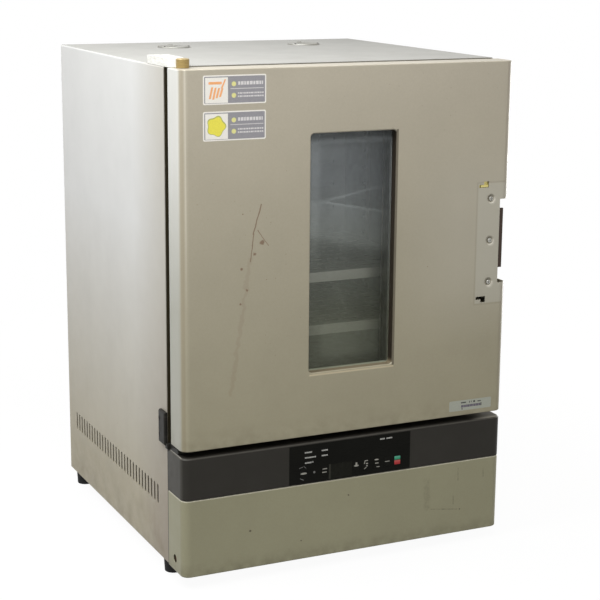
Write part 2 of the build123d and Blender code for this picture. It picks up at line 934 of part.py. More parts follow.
def damper_windows(x, z):
    """Two opposite quarter windows of an exhaust shutter."""
    ring = rod_z(x, port_y, z, damper_window_radius) - rod_z(x, port_y, z, damper_rivet_radius + 3)
    half_rib = damper_rib / 2
    reach = damper_window_radius + 1
    first = block((x + half_rib, x + reach), (port_y + half_rib, port_y + reach), z)
    second = block((x - reach, x - half_rib), (port_y - reach, port_y - half_rib), z)
    return [ring & first, ring & second]


def flange_screw_places(x):
    """Three screws round an exhaust flange."""
    radius = (damper_radius + port_flange_radius) / 2 + damper_play
    angles = [math.radians(90 + 120 * i) for i in range(3)]
    return [(x + radius * math.cos(a), port_y + radius * math.sin(a)) for a in angles]


def make_exhaust_ports():
    """Two flanged tubes from the chamber's roof, each with a windowed floor and a rivet."""
    solids = []
    for x in port_places():
        top = case_top + port_flange_height
        floor = case_top + port_floor_height
        port = rod_z(x, port_y, (case_top, top), port_flange_radius)
        port = fillet(port.edges().group_by(Axis.Z)[-1], 1.2)
        port -= rod_z(x, port_y, (floor, top + 1), damper_radius + damper_play)
        port -= damper_windows(x, (case_top - 1, floor + 1))
        rivet_top = floor + damper_thickness + damper_rivet_height
        port += rod_z(x, port_y, (floor, rivet_top), damper_rivet_radius)
        tube = rod_z(x, port_y, (chamber_roof + liner_sheet, case_top), port_bore_radius + port_tube_wall)
        port += tube - rod_z(x, port_y, (chamber_roof, case_top + 1), port_bore_radius)
        solids.append(port)
    return solids[0] + solids[1:]


def make_exhaust_damper(x):
    """Rotary shutter disc with two quarter windows and a low finger tab."""
    low = case_top + port_floor_height + 0.1
    high = low + damper_thickness
    disc = rod_z(x, port_y, (low, high), damper_radius)
    disc -= damper_windows(x, (low - 1, high + 1))
    disc -= rod_z(x, port_y, (low - 1, high + 1), damper_rivet_radius + running_clearance)
    tab = rounded(
        (x - damper_tab_width / 2, x + damper_tab_width / 2),
        (port_y + damper_tab_reach - damper_tab_thickness, port_y + damper_tab_reach),
        (high - damper_thickness / 2, high + damper_tab_height),
        Axis.Z, damper_tab_thickness * 0.4,
    )
    return disc + tab


def make_exhaust_screws():
    """Three small screws on each exhaust flange."""
    solids = []
    for x in port_places():
        for sx, sy in flange_screw_places(x):
            head = rod_z(sx, sy, (case_top + port_flange_height, case_top + port_flange_height + 1.0), 1.9)
            solids.append(fillet(head.edges().group_by(Axis.Z)[-1], 0.6))
    return solids[0] + solids[1:]


def make_hinge_bracket():
    """Thick bright plate on the case's top corner, whose arm carries the hinge bush."""
    left = case_left + bracket_side_inset
    right = left + bracket_width
    arm_side = bush_radius * 0.65
    arm_end = pivot_y + bush_radius * 0.5
    outline = Polyline(
        (left, case_front + bracket_back),
        (left, case_front - bracket_arm_reach),
        (pivot_x - arm_side, arm_end),
        (pivot_x + arm_side, arm_end),
        (pivot_x + bracket_neck, case_front - bracket_arm_reach),
        (right, case_front + bracket_shoulder),
        (right, case_front + bracket_back),
        close=True,
    )
    plate = Pos(0, 0, case_top) * extrude(make_face(outline), amount=bracket_thickness)
    plate = fillet(plate.edges().filter_by(Axis.Z).group_by(Axis.Y)[-1], 2.0)
    plate -= rod_z(pivot_x, pivot_y, (case_top - 5, case_top + 20), bush_radius)
    holes = []
    for x, y in bracket_screw_places():
        hole = screw_shank_radius + screw_hole_play
        holes.append(rod_z(x, y, (case_top - 1, case_top + bracket_thickness + 1), hole))
        top = case_top + bracket_thickness
        sink = (top - screw_head_height - screw_head_sink, top + 1)
        holes.append(rod_z(x, y, sink, screw_head_radius + screw_hole_play))
    return plate - holes


def make_hinge_bushes():
    """Brass bush that holds the upper pin, and the thrust washer on the lower foot."""
    low = door_top + hinge_play
    bush = rod_z(pivot_x, pivot_y, (low, low + bush_height), bush_radius)
    bush = chamfer(bush.edges().group_by(Axis.Z)[-1], bush_chamfer)
    bush -= rod_z(pivot_x, pivot_y, (low - 1, low + bush_height + 1), pin_radius)
    span = (hinge_foot_top, hinge_foot_top + hinge_washer_thickness)
    washer = rod_z(pivot_x, pivot_y, span, hinge_washer_radius)
    return bush + (washer - rod_z(pivot_x, pivot_y, (span[0] - 1, span[1] + 1), pin_radius))


def make_hinge_pins():
    """Upper pin, fast in the bush, and lower pin, fast in the foot, both running in the door."""
    high = door_top + hinge_play + bush_height - 0.6
    low = hinge_foot_low + hinge_pin_floor
    upper = rod_z(pivot_x, pivot_y, (door_top - pin_length_in_door, high), pin_radius)
    return upper + rod_z(pivot_x, pivot_y, (low, door_bottom + pin_length_in_door), pin_radius)


def make_hinge_screws():
    """Two screws in the upper bracket and two in the side of the lower block."""
    seat = case_top + bracket_thickness - screw_head_height - screw_head_sink
    solids = [Pos(x, y, seat) * screw(shank=bracket_screw_length) for x, y in bracket_screw_places()]
    seat = case_left - hinge_block_proud + screw_head_height + screw_head_sink
    side_screw = screw(shank=hinge_screw_length)
    solids += [facing_left(seat, hinge_screw_y, z) * side_screw for z in hinge_screw_heights()]
    return solids[0] + solids[1:]


def make_hinge_block():
    """Black lower hinge: a plate on the case's side with a foot under the door."""
    plate = block(
        (case_left - hinge_block_proud, case_left),
        (case_front - hinge_block_lead, case_front + hinge_block_depth),
        (hinge_block_low, hinge_block_low + hinge_block_height),
    )
    plate = chamfer(plate.edges().group_by(Axis.X)[0], hinge_block_chamfer)
    foot = rounded(
        (case_left + hinge_foot_inset, case_left + hinge_foot_width),
        (case_front - hinge_foot_reach, case_front - 0.1),
        (hinge_foot_low, hinge_foot_top), Axis.Z, 2.0,
    )
    web = block(
        (case_left - hinge_web_proud, case_left + 2 * hinge_foot_inset),
        (case_front - hinge_web_length, case_front - 0.1),
        (hinge_foot_low, hinge_foot_top),
    )
    body = plate + foot + web
    body -= rod_z(pivot_x, pivot_y, (hinge_foot_low + hinge_pin_floor, hinge_foot_top + 1), pin_radius)
    holes = []
    face = case_left - hinge_block_proud
    for z in hinge_screw_heights():
        span = (face - 1, case_left + 1)
        holes.append(rod_x(span, hinge_screw_y, z, screw_shank_radius + screw_hole_play))
        sink = (face - 1, face + screw_head_height + screw_head_sink)
        holes.append(rod_x(sink, hinge_screw_y, z, screw_head_radius + screw_hole_play))
    return body - holes


def window_block(y, grow, radius):
    """A block the size of the window, grown all round."""
    return rounded(
        (window_left - grow, window_right + grow), y, (window_bottom - grow, window_top + grow),
        Axis.Y, radius,
    )


def handle_slot(height, upright_right, y):
    """An L-shaped handle slot: a flat arm to the left and a full-height end to the right."""
    left = case_right - handle_slot_inset - handle_slot_width
    right = case_right - handle_slot_inset
    low = case_base + height
    middle = low + handle_slot_height / 2
    arm = (low, middle) if upright_right else (middle, low + handle_slot_height)
    slot = block((left, right), y, arm)
    return slot + block((left + handle_slot_width / 2, right), y, (low, low + handle_slot_height))


def handle_screw_places():
    """The three handle screws, as width and height."""
    return [(case_right - handle_screw_inset, case_base + z) for z in handle_screw_heights]


def notch_block(depth):
    """The notch in the door's right edge, to a given depth."""
    return block(
        (case_right - notch_width, case_right + 1), (door_front - 1, door_front + depth),
        (case_base + notch_bottom_height, case_base + notch_bottom_height + notch_height),
    )


def window_rim(skin):
    """The edges where the window opening meets the skin's front face."""
    edges = []
    for edge in skin.edges():
        place = edge.center()
        inside = window_left - 1 < place.X < window_right + 1 and window_bottom - 1 < place.Z < window_top + 1
        if inside and abs(place.Y - door_front) < 0.01:
            edges.append(edge)
    return edges


def make_door_skin():
    """Pressed outer skin with its window, handle dimples, slots, notch and pin holes."""
    skin = block((case_left, case_right), (door_front, door_back), (door_bottom, door_top))
    front_corners = skin.edges().filter_by(Axis.Z).group_by(Axis.Y)[0]
    skin = fillet(front_corners, door_edge_radius)
    rims = skin.faces().sort_by(Axis.Z)[-1].edges() + skin.faces().sort_by(Axis.Z)[0].edges()
    rims = [e for e in rims if e.center().Y < door_back - 1]
    skin = fillet(rims, door_rim_radius)
    hollow = block(
        (case_left + door_sheet, case_right - door_sheet), (door_front + door_sheet, door_back + 1),
        (door_bottom + door_sheet, door_top - door_sheet),
    )
    corners = hollow.edges().filter_by(Axis.Z).group_by(Axis.Y)[0]
    skin -= fillet(corners, door_edge_radius - door_sheet)
    reveal_span = (door_front + door_sheet / 2, glass_front)
    skin += window_block(reveal_span, door_sheet, window_corner_radius + door_sheet)
    lip_span = (door_front + door_sheet / 2, door_front + window_lip_radius + door_sheet)
    skin += window_block(lip_span, window_lip_radius, window_corner_radius + window_lip_radius)
    skin -= window_block((door_front - 1, glass_front + 1), 0, window_corner_radius)
    skin = fillet(window_rim(skin), window_lip_radius)
    dimple_back = door_front + dimple_depth + door_sheet
    for x, z in handle_screw_places():
        skin += rod_y(x, (door_front + door_sheet / 2, dimple_back), z, dimple_radius + door_sheet)
    cuts = []
    for x, z in handle_screw_places():
        cone = Cone(dimple_floor_radius, dimple_radius, dimple_depth)
        cuts.append(Pos(x, door_front + dimple_depth / 2, z) * Rot(90, 0, 0) * cone)
        hole = screw_shank_radius + screw_hole_play
        cuts.append(rod_y(x, (door_front, dimple_back + 1), z, hole))
    cuts.append(handle_slot(upper_slot_height, True, (door_front - 1, door_front + door_sheet + 1)))
    cuts.append(handle_slot(lower_slot_height, False, (door_front - 1, door_front + door_sheet + 1)))
    cuts.append(notch_block(notch_depth))
    cuts.append(rod_z(pivot_x, pivot_y, (door_bottom - 1, door_top + 1), pin_radius + 0.5))
    return skin - cuts


def make_door_inner_pan():
    """Inner sheet with the raised plug that enters the chamber's mouth."""
    edge = door_sheet + panel_play
    pan = block(
        (case_left + edge, case_right - edge), (door_back - case_sheet, door_back),
        (door_bottom + edge, door_top - edge),
    )
    plug_x = (chamber_left + plug_clearance, chamber_right - plug_clearance)
    plug_z = (chamber_floor + plug_clearance, chamber_roof - plug_clearance)
    pan += rounded(plug_x, (door_back - case_sheet, plug_face), plug_z, Axis.Y, chamber_corner_radius)
    pan -= rounded(
        (plug_x[0] + plug_sheet, plug_x[1] - plug_sheet),
        (door_back - case_sheet - 1, plug_face - plug_sheet),
        (plug_z[0] + plug_sheet, plug_z[1] - plug_sheet),
        Axis.Y, chamber_corner_radius - plug_sheet,
    )
    pan -= window_block((plug_face - 3, plug_face + 1), window_flare, window_corner_radius)
    return pan - latch_slot((door_back - 5, door_back + 1), latch_hook_width)


def pane_spans():
    """Depth limits and growth past the window of the outer pane, set back, and the inner pane."""
    back = plug_face - plug_sheet
    return [
        ((glass_front, glass_front + glass_thickness), 0.0),
        ((back - glass_thickness, back), window_flare),
    ]


def sleeve_section(y, extra):
    """Section of the window's sleeve at one depth: it widens evenly from pane to pane."""
    (outer_span, _), (inner_span, _) = pane_spans()
    share = (y - outer_span[1]) / (inner_span[0] - outer_span[1])
    grow = 2 * (share * window_flare + extra)
    middle = ((window_left + window_right) / 2, y, (window_bottom + window_top) / 2)
    outline = RectangleRounded(
        window_right - window_left + grow, window_top - window_bottom + grow, window_corner_radius + extra
    )
    return Plane(middle, x_dir=(1, 0, 0), z_dir=(0, -1, 0)) * outline


def make_window_tunnel():
    """Stainless sleeve between the two panes, wider towards the chamber."""
    (outer_span, _), (inner_span, _) = pane_spans()
    front, back = outer_span[1], inner_span[0]
    sleeve = loft([sleeve_section(front, plug_sheet), sleeve_section(back, plug_sheet)])
    return sleeve - loft([sleeve_section(front - 1, 0), sleeve_section(back + 1, 0)])


def make_window_panes():
    """The two glass panes of the door."""
    panes = [window_block(span, grow + glass_margin, window_corner_radius) for span, grow in pane_spans()]
    return panes[0] + panes[1:]


def make_window_seals():
    """Silicone rings round the edges of both panes."""
    rings = []
    for span, grow in pane_spans():
        edge = grow + glass_margin
        ring = window_block(span, edge + glass_seal_width, window_corner_radius)
        rings.append(ring - window_block((span[0] - 1, span[1] + 1), edge, window_corner_radius))
    return rings[0] + rings[1:]


def make_door_wool():
    """Insulation that fills the door round the window."""
    slab = block(
        (pivot_x + pivot_block_size / 2 + 3, case_right - handle_screw_inset - handle_bracket_width * 0.75),
        (door_front + door_sheet + wool_play, door_back - case_sheet - wool_play),
        (door_bottom + 6, door_top - 6),
    )
    grow = glass_margin + glass_seal_width + wool_play
    return slab - window_block((door_front, door_back), grow, window_corner_radius)


def make_door_gasket():
    """Silicone seal round the plug, closing on the front frame."""
    outer = gasket_offset + gasket_width
    span = (door_back, case_front - gasket_play)
    ring = rounded(
        (chamber_left - outer, chamber_right + outer), span, (chamber_floor - outer, chamber_roof + outer),
        Axis.Y, 20.0,
    )
    ring -= rounded(
        (chamber_left - gasket_offset, chamber_right + gasket_offset), (span[0] - 1, span[1] + 1),
        (chamber_floor - gasket_offset, chamber_roof + gasket_offset),
        Axis.Y, 8.0,
    )
    return ring


def pivot_block_spans():
    """Height limits of the blocks that hold the door's pivot bushes."""
    low = door_bottom + door_sheet
    high = door_top - door_sheet
    return [(low, low + pivot_block_height), (high - pivot_block_height, high)]


def make_pivot_blocks():
    """Bearing blocks inside the door that run on the two hinge pins."""
    half = pivot_block_size / 2
    solids = []
    for span in pivot_block_spans():
        body = block(
            (case_left + door_sheet, pivot_x + half), (pivot_y - half, door_back - case_sheet), span
        )
        bore = rod_z(pivot_x, pivot_y, (span[0] - 1, span[1] + 1), pin_radius + running_clearance)
        solids.append(body - bore)
    return solids[0] + solids[1:]


def make_handle_screws():
    """Three cross-head screws in the handle dimples."""
    seat = door_front + dimple_depth
    solids = []
    for x, z in handle_screw_places():
        handle_screw = screw(head_radius=dimple_floor_radius - 0.2, shank=handle_screw_length)
        solids.append(facing_front(x, seat, z) * handle_screw)
    return solids[0] + solids[1:]


def make_handle_bracket():
    """Zinc-plated backing plate behind the handle zone, cut away at the lower slot."""
    front = door_front + dimple_depth + door_sheet
    left = case_right - handle_screw_inset - handle_bracket_width * 0.7
    slot_top = upper_slot_height + handle_slot_height + bracket_slot_margin
    screw_top = max(handle_screw_heights) + bracket_screw_margin
    plate = block(
        (left, left + handle_bracket_width), (front, front + handle_bracket_sheet),
        (case_base + lower_slot_height - 4, case_base + max(slot_top, screw_top)),
    )
    hole = screw_shank_radius + screw_hole_play
    cuts = [rod_y(x, (front - 1, front + 5), z, hole) for x, z in handle_screw_places()]
    low = case_base + lower_slot_height
    cuts.append(block((left - 1, left + handle_bracket_width * 0.66), (front - 1, front + 5),
                      (low - 5, low + handle_slot_height + 3)))
    slot_right = case_right - handle_slot_inset
    tab = block(
        (slot_right - handle_slot_width * 0.8, slot_right - 1),
        (door_front + door_sheet, front),
        (case_base + upper_slot_height + 1.0, case_base + upper_slot_height + 4.5),
    )
    return plate - cuts + tab


def make_latch_lever():
    """Dark latch lever: a flat bar in the notch, two ears on the pin and a claw to the rear."""
    bar_low = case_base + latch_bar_bottom_height
    bar_front = door_front + latch_bar_setback
    right = case_right - latch_bar_edge_inset
    lever = block(
        (right - latch_bar_width, right), (bar_front, bar_front + latch_bar_sheet),
        (bar_low, bar_low + latch_bar_height),
    )
    ears = (latch_middle - latch_ear_spacing / 2, latch_middle + latch_ear_spacing / 2)
    for z in ears:
        lever += block((latch_x - 6, right - 4), (bar_front + 1, latch_y + 7), (z - 2, z + 2))
    claw_z = (latch_middle - latch_claw_height / 2, latch_middle + latch_claw_height / 2)
    half = latch_claw_width / 2
    lever += rod_z(latch_x, latch_y, ears, latch_pin_radius + 4)
    tip = frame_back + strike_sheet + latch_claw_reach
    lever += block((latch_x - half, latch_x + half), (latch_y, tip), claw_z)
    lever += block(
        (latch_x - half, latch_x + half + latch_hook_width), (tip - latch_hook_depth, tip), claw_z
    )
    bore = (latch_middle - latch_ear_spacing, latch_middle + latch_ear_spacing)
    return lever - rod_z(latch_x, latch_y, bore, latch_pin_radius + running_clearance)


def make_latch_pin():
    """Upright pin that the latch lever turns on, with two arms from the door's inner sheet."""
    reach = latch_ear_spacing / 2 + 14
    pin = rod_z(latch_x, latch_y, (latch_middle - reach, latch_middle + reach), latch_pin_radius)
    for z in (latch_middle - reach + 2, latch_middle + reach - 4):
        arm_y = (latch_y - 2 * latch_pin_radius, door_back - case_sheet)
        pin += block((latch_x - 8, latch_x + 5), arm_y, (z, z + 2))
    return pin


def unit_shell(low, high):
    """A folded front cover across the machine, open to the rear."""
    body = block((case_left, case_right), (door_front, case_front), (low, high))
    corners = body.edges().filter_by(Axis.Z).group_by(Axis.Y)[0]
    return fillet(corners, door_edge_radius)


def unit_hollow(low, high):
    """The space inside a folded front cover."""
    body = block(
        (case_left + unit_sheet, case_right - unit_sheet), (door_front + unit_sheet, case_front + 1),
        (low, high),
    )
    corners = body.edges().filter_by(Axis.Z).group_by(Axis.Y)[0]
    return fillet(corners, door_edge_radius - unit_sheet)


def make_control_band():
    """Dark band with a bevelled top edge and an opening behind the overlay."""
    body = unit_shell(band_bottom, band_top)
    top_edges = [e for e in body.faces().sort_by(Axis.Z)[-1].edges() if e.center().Y < case_front - 1]
    body = chamfer(top_edges, band_bevel)
    body -= unit_hollow(band_bottom - 1, band_top - unit_sheet - band_bevel * 0.6)
    margin = overlay_backing_margin
    return body - block(
        (overlay_left + margin, overlay_right - margin), (door_front - 1, door_front + unit_sheet + 1),
        (overlay_bottom + 0.5, overlay_top - margin),
    )


def side_hole(x):
    """Oval access hole in a side of the lower front panel."""
    low = panel_bottom + side_hole_bottom_height
    y = case_front - side_hole_setback
    return rounded(
        x, (y - side_hole_width / 2, y + side_hole_width / 2), (low, low + side_hole_height),
        Axis.X, side_hole_width * 0.49,
    )


def make_lower_front_panel():
    """Lower front cover with rounded rims and an oval hole in each side."""
    body = unit_shell(panel_bottom, panel_top)
    rims = body.faces().sort_by(Axis.Z)[-1].edges() + body.faces().sort_by(Axis.Z)[0].edges()
    body = fillet([e for e in rims if e.center().Y < case_front - 1], panel_rim_radius)
    body -= unit_hollow(panel_bottom + unit_sheet + 0.6, panel_top - unit_sheet - 0.6)
    body -= block(
        (case_left + 30, case_right - 30), (door_front + 16, case_front + 1),
        (panel_bottom - 1, panel_bottom + 5),
    )
    for span in ((case_left - 1, case_left + 3), (case_right - 3, case_right + 1)):
        body -= side_hole(span)
    return body


def make_panel_side_screws():
    """Screws on tabs behind the oval holes, which hold the lower panel."""
    low = panel_bottom + side_hole_bottom_height
    y = case_front - side_hole_setback
    z = low + side_hole_height / 2
    solids = []
    for side, turn in ((case_left + unit_sheet, facing_left), (case_right - unit_sheet, facing_right)):
        inward = 1 if side < mid_x else -1
        seat = side + inward * (screw_head_height + side_tab_gap)
        tab_span = sorted((seat, seat + inward * side_tab_sheet))
        half_height = side_tab_height / 2
        tab_span_y = (y - side_tab_width / 2, case_front)
        tab = block(tab_span, tab_span_y, (z - half_height, z + half_height))
        solids.append(tab + turn(seat, y, z) * screw(shank=side_screw_length))
    return solids[0] + solids[1:]


def key_x(inset):
    """Width place of a key's middle."""
    return case_left + inset


def key_opening(inset, y, grow):
    """A key-sized block through the given depth."""
    x = key_x(inset)
    half_width = key_width / 2 + grow
    half_height = key_height / 2 + grow
    return rounded(
        (x - half_width, x + half_width), y, (key_middle - half_height, key_middle + half_height),
        Axis.Y, 2.0 + grow,
    )


def display_block(y, grow):
    """A display-sized block through the given depth."""
    left = case_left + display_left_inset
    low = case_base + display_bottom_height
    return block(
        (left - grow, left + display_width + grow), y, (low - grow, low + display_height + grow)
    )


def make_control_overlay():
    """Glossy black fascia with openings for the display and the keys."""
    sheet = block((overlay_left, overlay_right), (overlay_front, door_front), (overlay_bottom, overlay_top))
    cuts = [key_opening(inset, (overlay_front - 1, door_front + 1), key_play) for inset in key_insets]
    cuts.append(display_block((overlay_front - 1, door_front + 1), 0.2))
    return sheet - cuts


def make_display_window():
    """Dark filter pane of the display."""
    return display_block((overlay_front, overlay_front + display_thickness), 0)


def make_key(inset):
    """Soft key cap with a rounded face and a shallow skirt."""
    cap = key_opening(inset, (overlay_front - key_proud, key_back), 0)
    cap = fillet(cap.edges().group_by(Axis.Y)[0], 0.5)
    skirt_front = door_front + 0.4
    return cap + key_opening(inset, (skirt_front, skirt_front + key_flange), key_play + 0.6)


def make_control_board():
    """Board behind the overlay with its display module, key switches and chips."""
    board_x = (overlay_left - board_margin, overlay_right + board_margin)
    board_z = (band_bottom + 3, band_top - band_bevel - 6)
    board = block(board_x, (board_front, board_front + board_sheet), board_z)
    for x in (board_x[0] + board_margin, board_x[1] - board_margin):
        for z in (board_z[0] + board_margin, board_z[1] - board_margin):
            board += rod_y(x, (door_front + unit_sheet, board_front), z, board_margin / 2)
    board += display_block((overlay_front + display_thickness + 0.4, board_front), -1.0)
    for inset in key_insets:
        x = key_x(inset)
        switch_front = key_back + key_travel + 0.2
        board += block((x - 3, x + 3), (switch_front, board_front), (key_middle - 3, key_middle + 3))
    back = board_front + board_sheet
    for x in centred(4, 46.0):
        middle = (overlay_left + overlay_right) / 2 + x
        board += block((middle - 9, middle + 9), (back, back + 4), (key_middle + 8, key_middle + 22))
    return board


def board_part(place, size, rise):
    """A block on the mains board, by its corner on the board, its size and its rise over it."""
    x = case_left + power_board_inset + place[0]
    y = case_front + power_board_setback + place[1]
    z = base_floor + board_post_height + power_board_sheet + rise
    return block((x, x + size[0]), (y, y + size[1]), (z, z + size[2]))


def make_power_board():
    """Mains board with its transformer, relays and posts."""
    left = case_left + power_board_inset
    front = case_front + power_board_setback
    low = base_floor + board_post_height
    top = low + power_board_sheet
    board = block((left, left + power_board_width), (front, front + power_board_depth), (low, top))
    inset = power_board_post_inset
    for x in (left + inset, left + power_board_width - inset):
        for y in (front + inset, front + power_board_depth - inset):
            board += rod_z(x, y, (base_floor, low), power_board_post_radius)
    board += board_part(transformer_place, transformer_size, 0)
    board += board_part(coil_place, coil_size, coil_rise)
    for i in range(relay_count):
        board += board_part((relay_place[0] + i * relay_pitch, relay_place[1]), relay_size, 0)
    for i in range(capacitor_count):
        x = left + capacitor_place[0] + i * capacitor_pitch
        board += rod_z(x, front + capacitor_place[1], (top, top + capacitor_height), capacitor_radius)
    return board


def make_terminal_block():
    """Row of mains terminals near the cable gland."""
    width = terminal_count * terminal_pitch
    left = case_right - gland_inset - width / 2
    front = case_back - terminal_setback
    top = base_floor + terminal_size
    body = block((left, left + width), (front, front + terminal_size), (base_floor, top))
    cuts = []
    for i in range(terminal_count):
        span = (left + i * terminal_pitch + 2, left + (i + 1) * terminal_pitch - 2)
        notch = (top - terminal_size / 3, top + 1)
        cuts.append(block(span, (front - 1, front + terminal_size / 3), notch))
        cuts.append(block(span, (front + terminal_size * 2 / 3, front + terminal_size + 1), notch))
    return body - cuts


def make_breaker_body():
    """Mains breaker in the right side: body, bezel rim and the pocket of its lever."""
    body_y = (breaker_front, breaker_front + breaker_depth)
    body_z = (breaker_bottom, breaker_bottom + breaker_height)
    body = block((case_right - breaker_body_width, case_right + bezel_floor), body_y, body_z)
    rim = breaker_bezel_rim
    bezel = rounded(
        (case_right, case_right + breaker_bezel_proud), (body_y[0] - rim, body_y[1] + rim),
        (body_z[0] - rim, body_z[1] + rim), Axis.X, 4.0,
    )
    bezel = fillet(bezel.edges().group_by(Axis.X)[-1], 1.2)
    bezel -= block(
        (case_right + bezel_floor, case_right + breaker_bezel_proud + 1), (body_y[0] + 4, body_y[1] - 4),
        (body_z[0] + 4, body_z[1] - 4),
    )
    pocket = rod_y(
        lever_x, (breaker_middle_y - lever_width / 2 - 1, breaker_middle_y + lever_width / 2 + 1),
        breaker_middle_z, lever_radius + 0.8,
    )
    return body + bezel - pocket + lever_axle()


def lever_axle():
    """Axle of the breaker lever, fast in the breaker's body."""
    return rod_y(
        lever_x, (breaker_middle_y - lever_width / 2 - 3, breaker_middle_y + lever_width / 2 + 3),
        breaker_middle_z, 3.0,
    )


def make_breaker_lever():
    """Breaker lever, at rest in its upper place."""
    span = (breaker_middle_y - lever_width / 2, breaker_middle_y + lever_width / 2)
    drum = rod_y(0, span, 0, 8.0)
    tip = block((0, lever_radius), span, (-lever_height / 2, lever_height / 2))
    tip = fillet(tip.edges().filter_by(Axis.Y).group_by(Axis.X)[-1], 1.5)
    lever = drum + tip - rod_y(0, (span[0] - 1, span[1] + 1), 0, 3.0 + running_clearance)
    return Pos(lever_x, 0, breaker_middle_z) * Rot(0, -lever_swing / 2, 0) * lever


def make_cable_gland():
    """Hexagonal gland with an open bore for the mains lead."""
    x = case_right - gland_inset
    z = case_base + gland_height
    nut = extrude(RegularPolygon(gland_radius, 6), amount=7.0)
    gland = Pos(x, case_back + 7.0, z) * Rot(90, 0, 0) * nut
    gland += rod_y(x, (case_back + 7.0, case_back + gland_reach), z, gland_radius * 0.8)
    gland += rod_y(x, (case_back - case_sheet - 12, case_back), z, gland_thread_radius)
    inner_nut = extrude(RegularPolygon(gland_radius, 6), amount=5.0)
    gland += Pos(x, case_back - case_sheet, z) * Rot(90, 0, 0) * inner_nut
    rim = gland.edges().group_by(Axis.Y)[-1]
    gland = fillet(rim, 2.0)
    return gland - rod_y(x, (case_back - 20, case_back + gland_reach + 1), z, gland_bore_radius)


def make_feet():
    """Four tapered rubber feet."""
    solids = []
    for x, y in foot_places():
        cone = Cone(foot_bottom_radius, foot_top_radius, foot_height)
        foot = Pos(x, y, foot_height / 2) * cone
        foot = fillet(foot.edges().group_by(Axis.Z)[0], 1.5)
        solids.append(foot - rod_z(x, y, (-1, foot_bore_depth), foot_bore_radius))
    return solids[0] + solids[1:]


def build_parts():
    """Every node's name and its solid or group of solids."""
    left_port, right_port = port_places()
    parts = {
        "outer_case": make_outer_case(),
        "base_pan": make_base_pan(),
        "back_panel": make_back_panel(),
        "front_frame": make_front_frame(),
        "divider": make_divider(),
        "strike_plate": make_strike_plate(),
        "chamber_liner": make_chamber_liner(),
        "chamber_wool": make_chamber_wool(),
        "rear_wool": make_rear_wool(),
        "rear_baffle": make_rear_baffle(),
        "fan_impeller": make_fan_impeller(),
        "fan_shaft": make_fan_shaft(),
        "motor_bracket": make_motor_bracket(),
        "fan_motor": make_fan_motor(),
        "heater": make_heater(),
        "temperature_probes": make_temperature_probes(),
        "shelf_posts": make_shelf_posts(),
        "shelf_clips": make_shelf_clips(),
        "upper_shelf": make_shelf(upper_shelf_height),
        "lower_shelf": make_shelf(lower_shelf_height),
        "exhaust_ports": make_exhaust_ports(),
        "exhaust_damper_left": make_exhaust_damper(left_port),
        "exhaust_damper_right": make_exhaust_damper(right_port),
        "exhaust_screws": make_exhaust_screws(),
        "hinge_bracket": make_hinge_bracket(),
        "hinge_bushes": make_hinge_bushes(),
        "hinge_pins": make_hinge_pins(),
        "hinge_screws": make_hinge_screws(),
        "hinge_block": make_hinge_block(),
        "door_skin": make_door_skin(),
        "door_inner_pan": make_door_inner_pan(),
        "window_tunnel": make_window_tunnel(),
        "window_panes": make_window_panes(),
        "window_seals": make_window_seals(),
        "door_wool": make_door_wool(),
        "door_gasket": make_door_gasket(),
        "pivot_blocks": make_pivot_blocks(),
        "handle_screws": make_handle_screws(),
        "handle_bracket": make_handle_bracket(),
        "latch_lever": make_latch_lever(),
        "latch_pin": make_latch_pin(),
        "control_band": make_control_band(),
        "lower_front_panel": make_lower_front_panel(),
        "panel_side_screws": make_panel_side_screws(),
        "control_overlay": make_control_overlay(),
        "display_window": make_display_window(),
        "control_board": make_control_board(),
        "power_board": make_power_board(),
        "terminal_block": make_terminal_block(),
        "breaker_body": make_breaker_body(),
        "breaker_lever": make_breaker_lever(),
        "cable_gland": make_cable_gland(),
        "feet": make_feet(),
    }
    for key, inset in zip(key_names, key_insets):
        parts[f"key_{key}"] = make_key(inset)
    return parts


os.makedirs("parts", exist_ok=True)
for name, shape in build_parts().items():
    export_step(shape, f"parts/{name}.step")
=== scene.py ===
"""Looks of the laboratory drying oven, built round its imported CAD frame.

Places and sizes are in millimetres, the places from the case's lower front left corner: x to the right,
y to the back, z up. Lamps and the floor are in metres. Colours are given as a screen shows them.
"""

import json
import math

import bpy
from mathutils import Matrix, Vector


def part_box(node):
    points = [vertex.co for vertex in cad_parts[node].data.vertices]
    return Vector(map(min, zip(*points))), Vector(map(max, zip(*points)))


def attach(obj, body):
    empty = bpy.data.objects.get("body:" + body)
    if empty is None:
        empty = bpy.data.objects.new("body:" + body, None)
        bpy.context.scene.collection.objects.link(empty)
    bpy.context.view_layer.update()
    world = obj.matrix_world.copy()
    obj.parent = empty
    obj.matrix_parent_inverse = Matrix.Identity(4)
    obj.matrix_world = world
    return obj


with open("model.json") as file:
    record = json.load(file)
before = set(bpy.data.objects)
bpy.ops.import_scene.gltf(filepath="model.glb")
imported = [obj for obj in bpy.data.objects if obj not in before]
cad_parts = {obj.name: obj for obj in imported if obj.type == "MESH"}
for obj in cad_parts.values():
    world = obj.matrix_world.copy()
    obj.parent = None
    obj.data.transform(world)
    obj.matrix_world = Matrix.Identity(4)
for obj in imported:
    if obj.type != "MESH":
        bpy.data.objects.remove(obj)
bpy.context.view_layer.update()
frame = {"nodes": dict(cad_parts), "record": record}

MM = 0.001

# Nearly all values of a noise texture lie between these.
NOISE_RANGE = (0.3, 0.7)

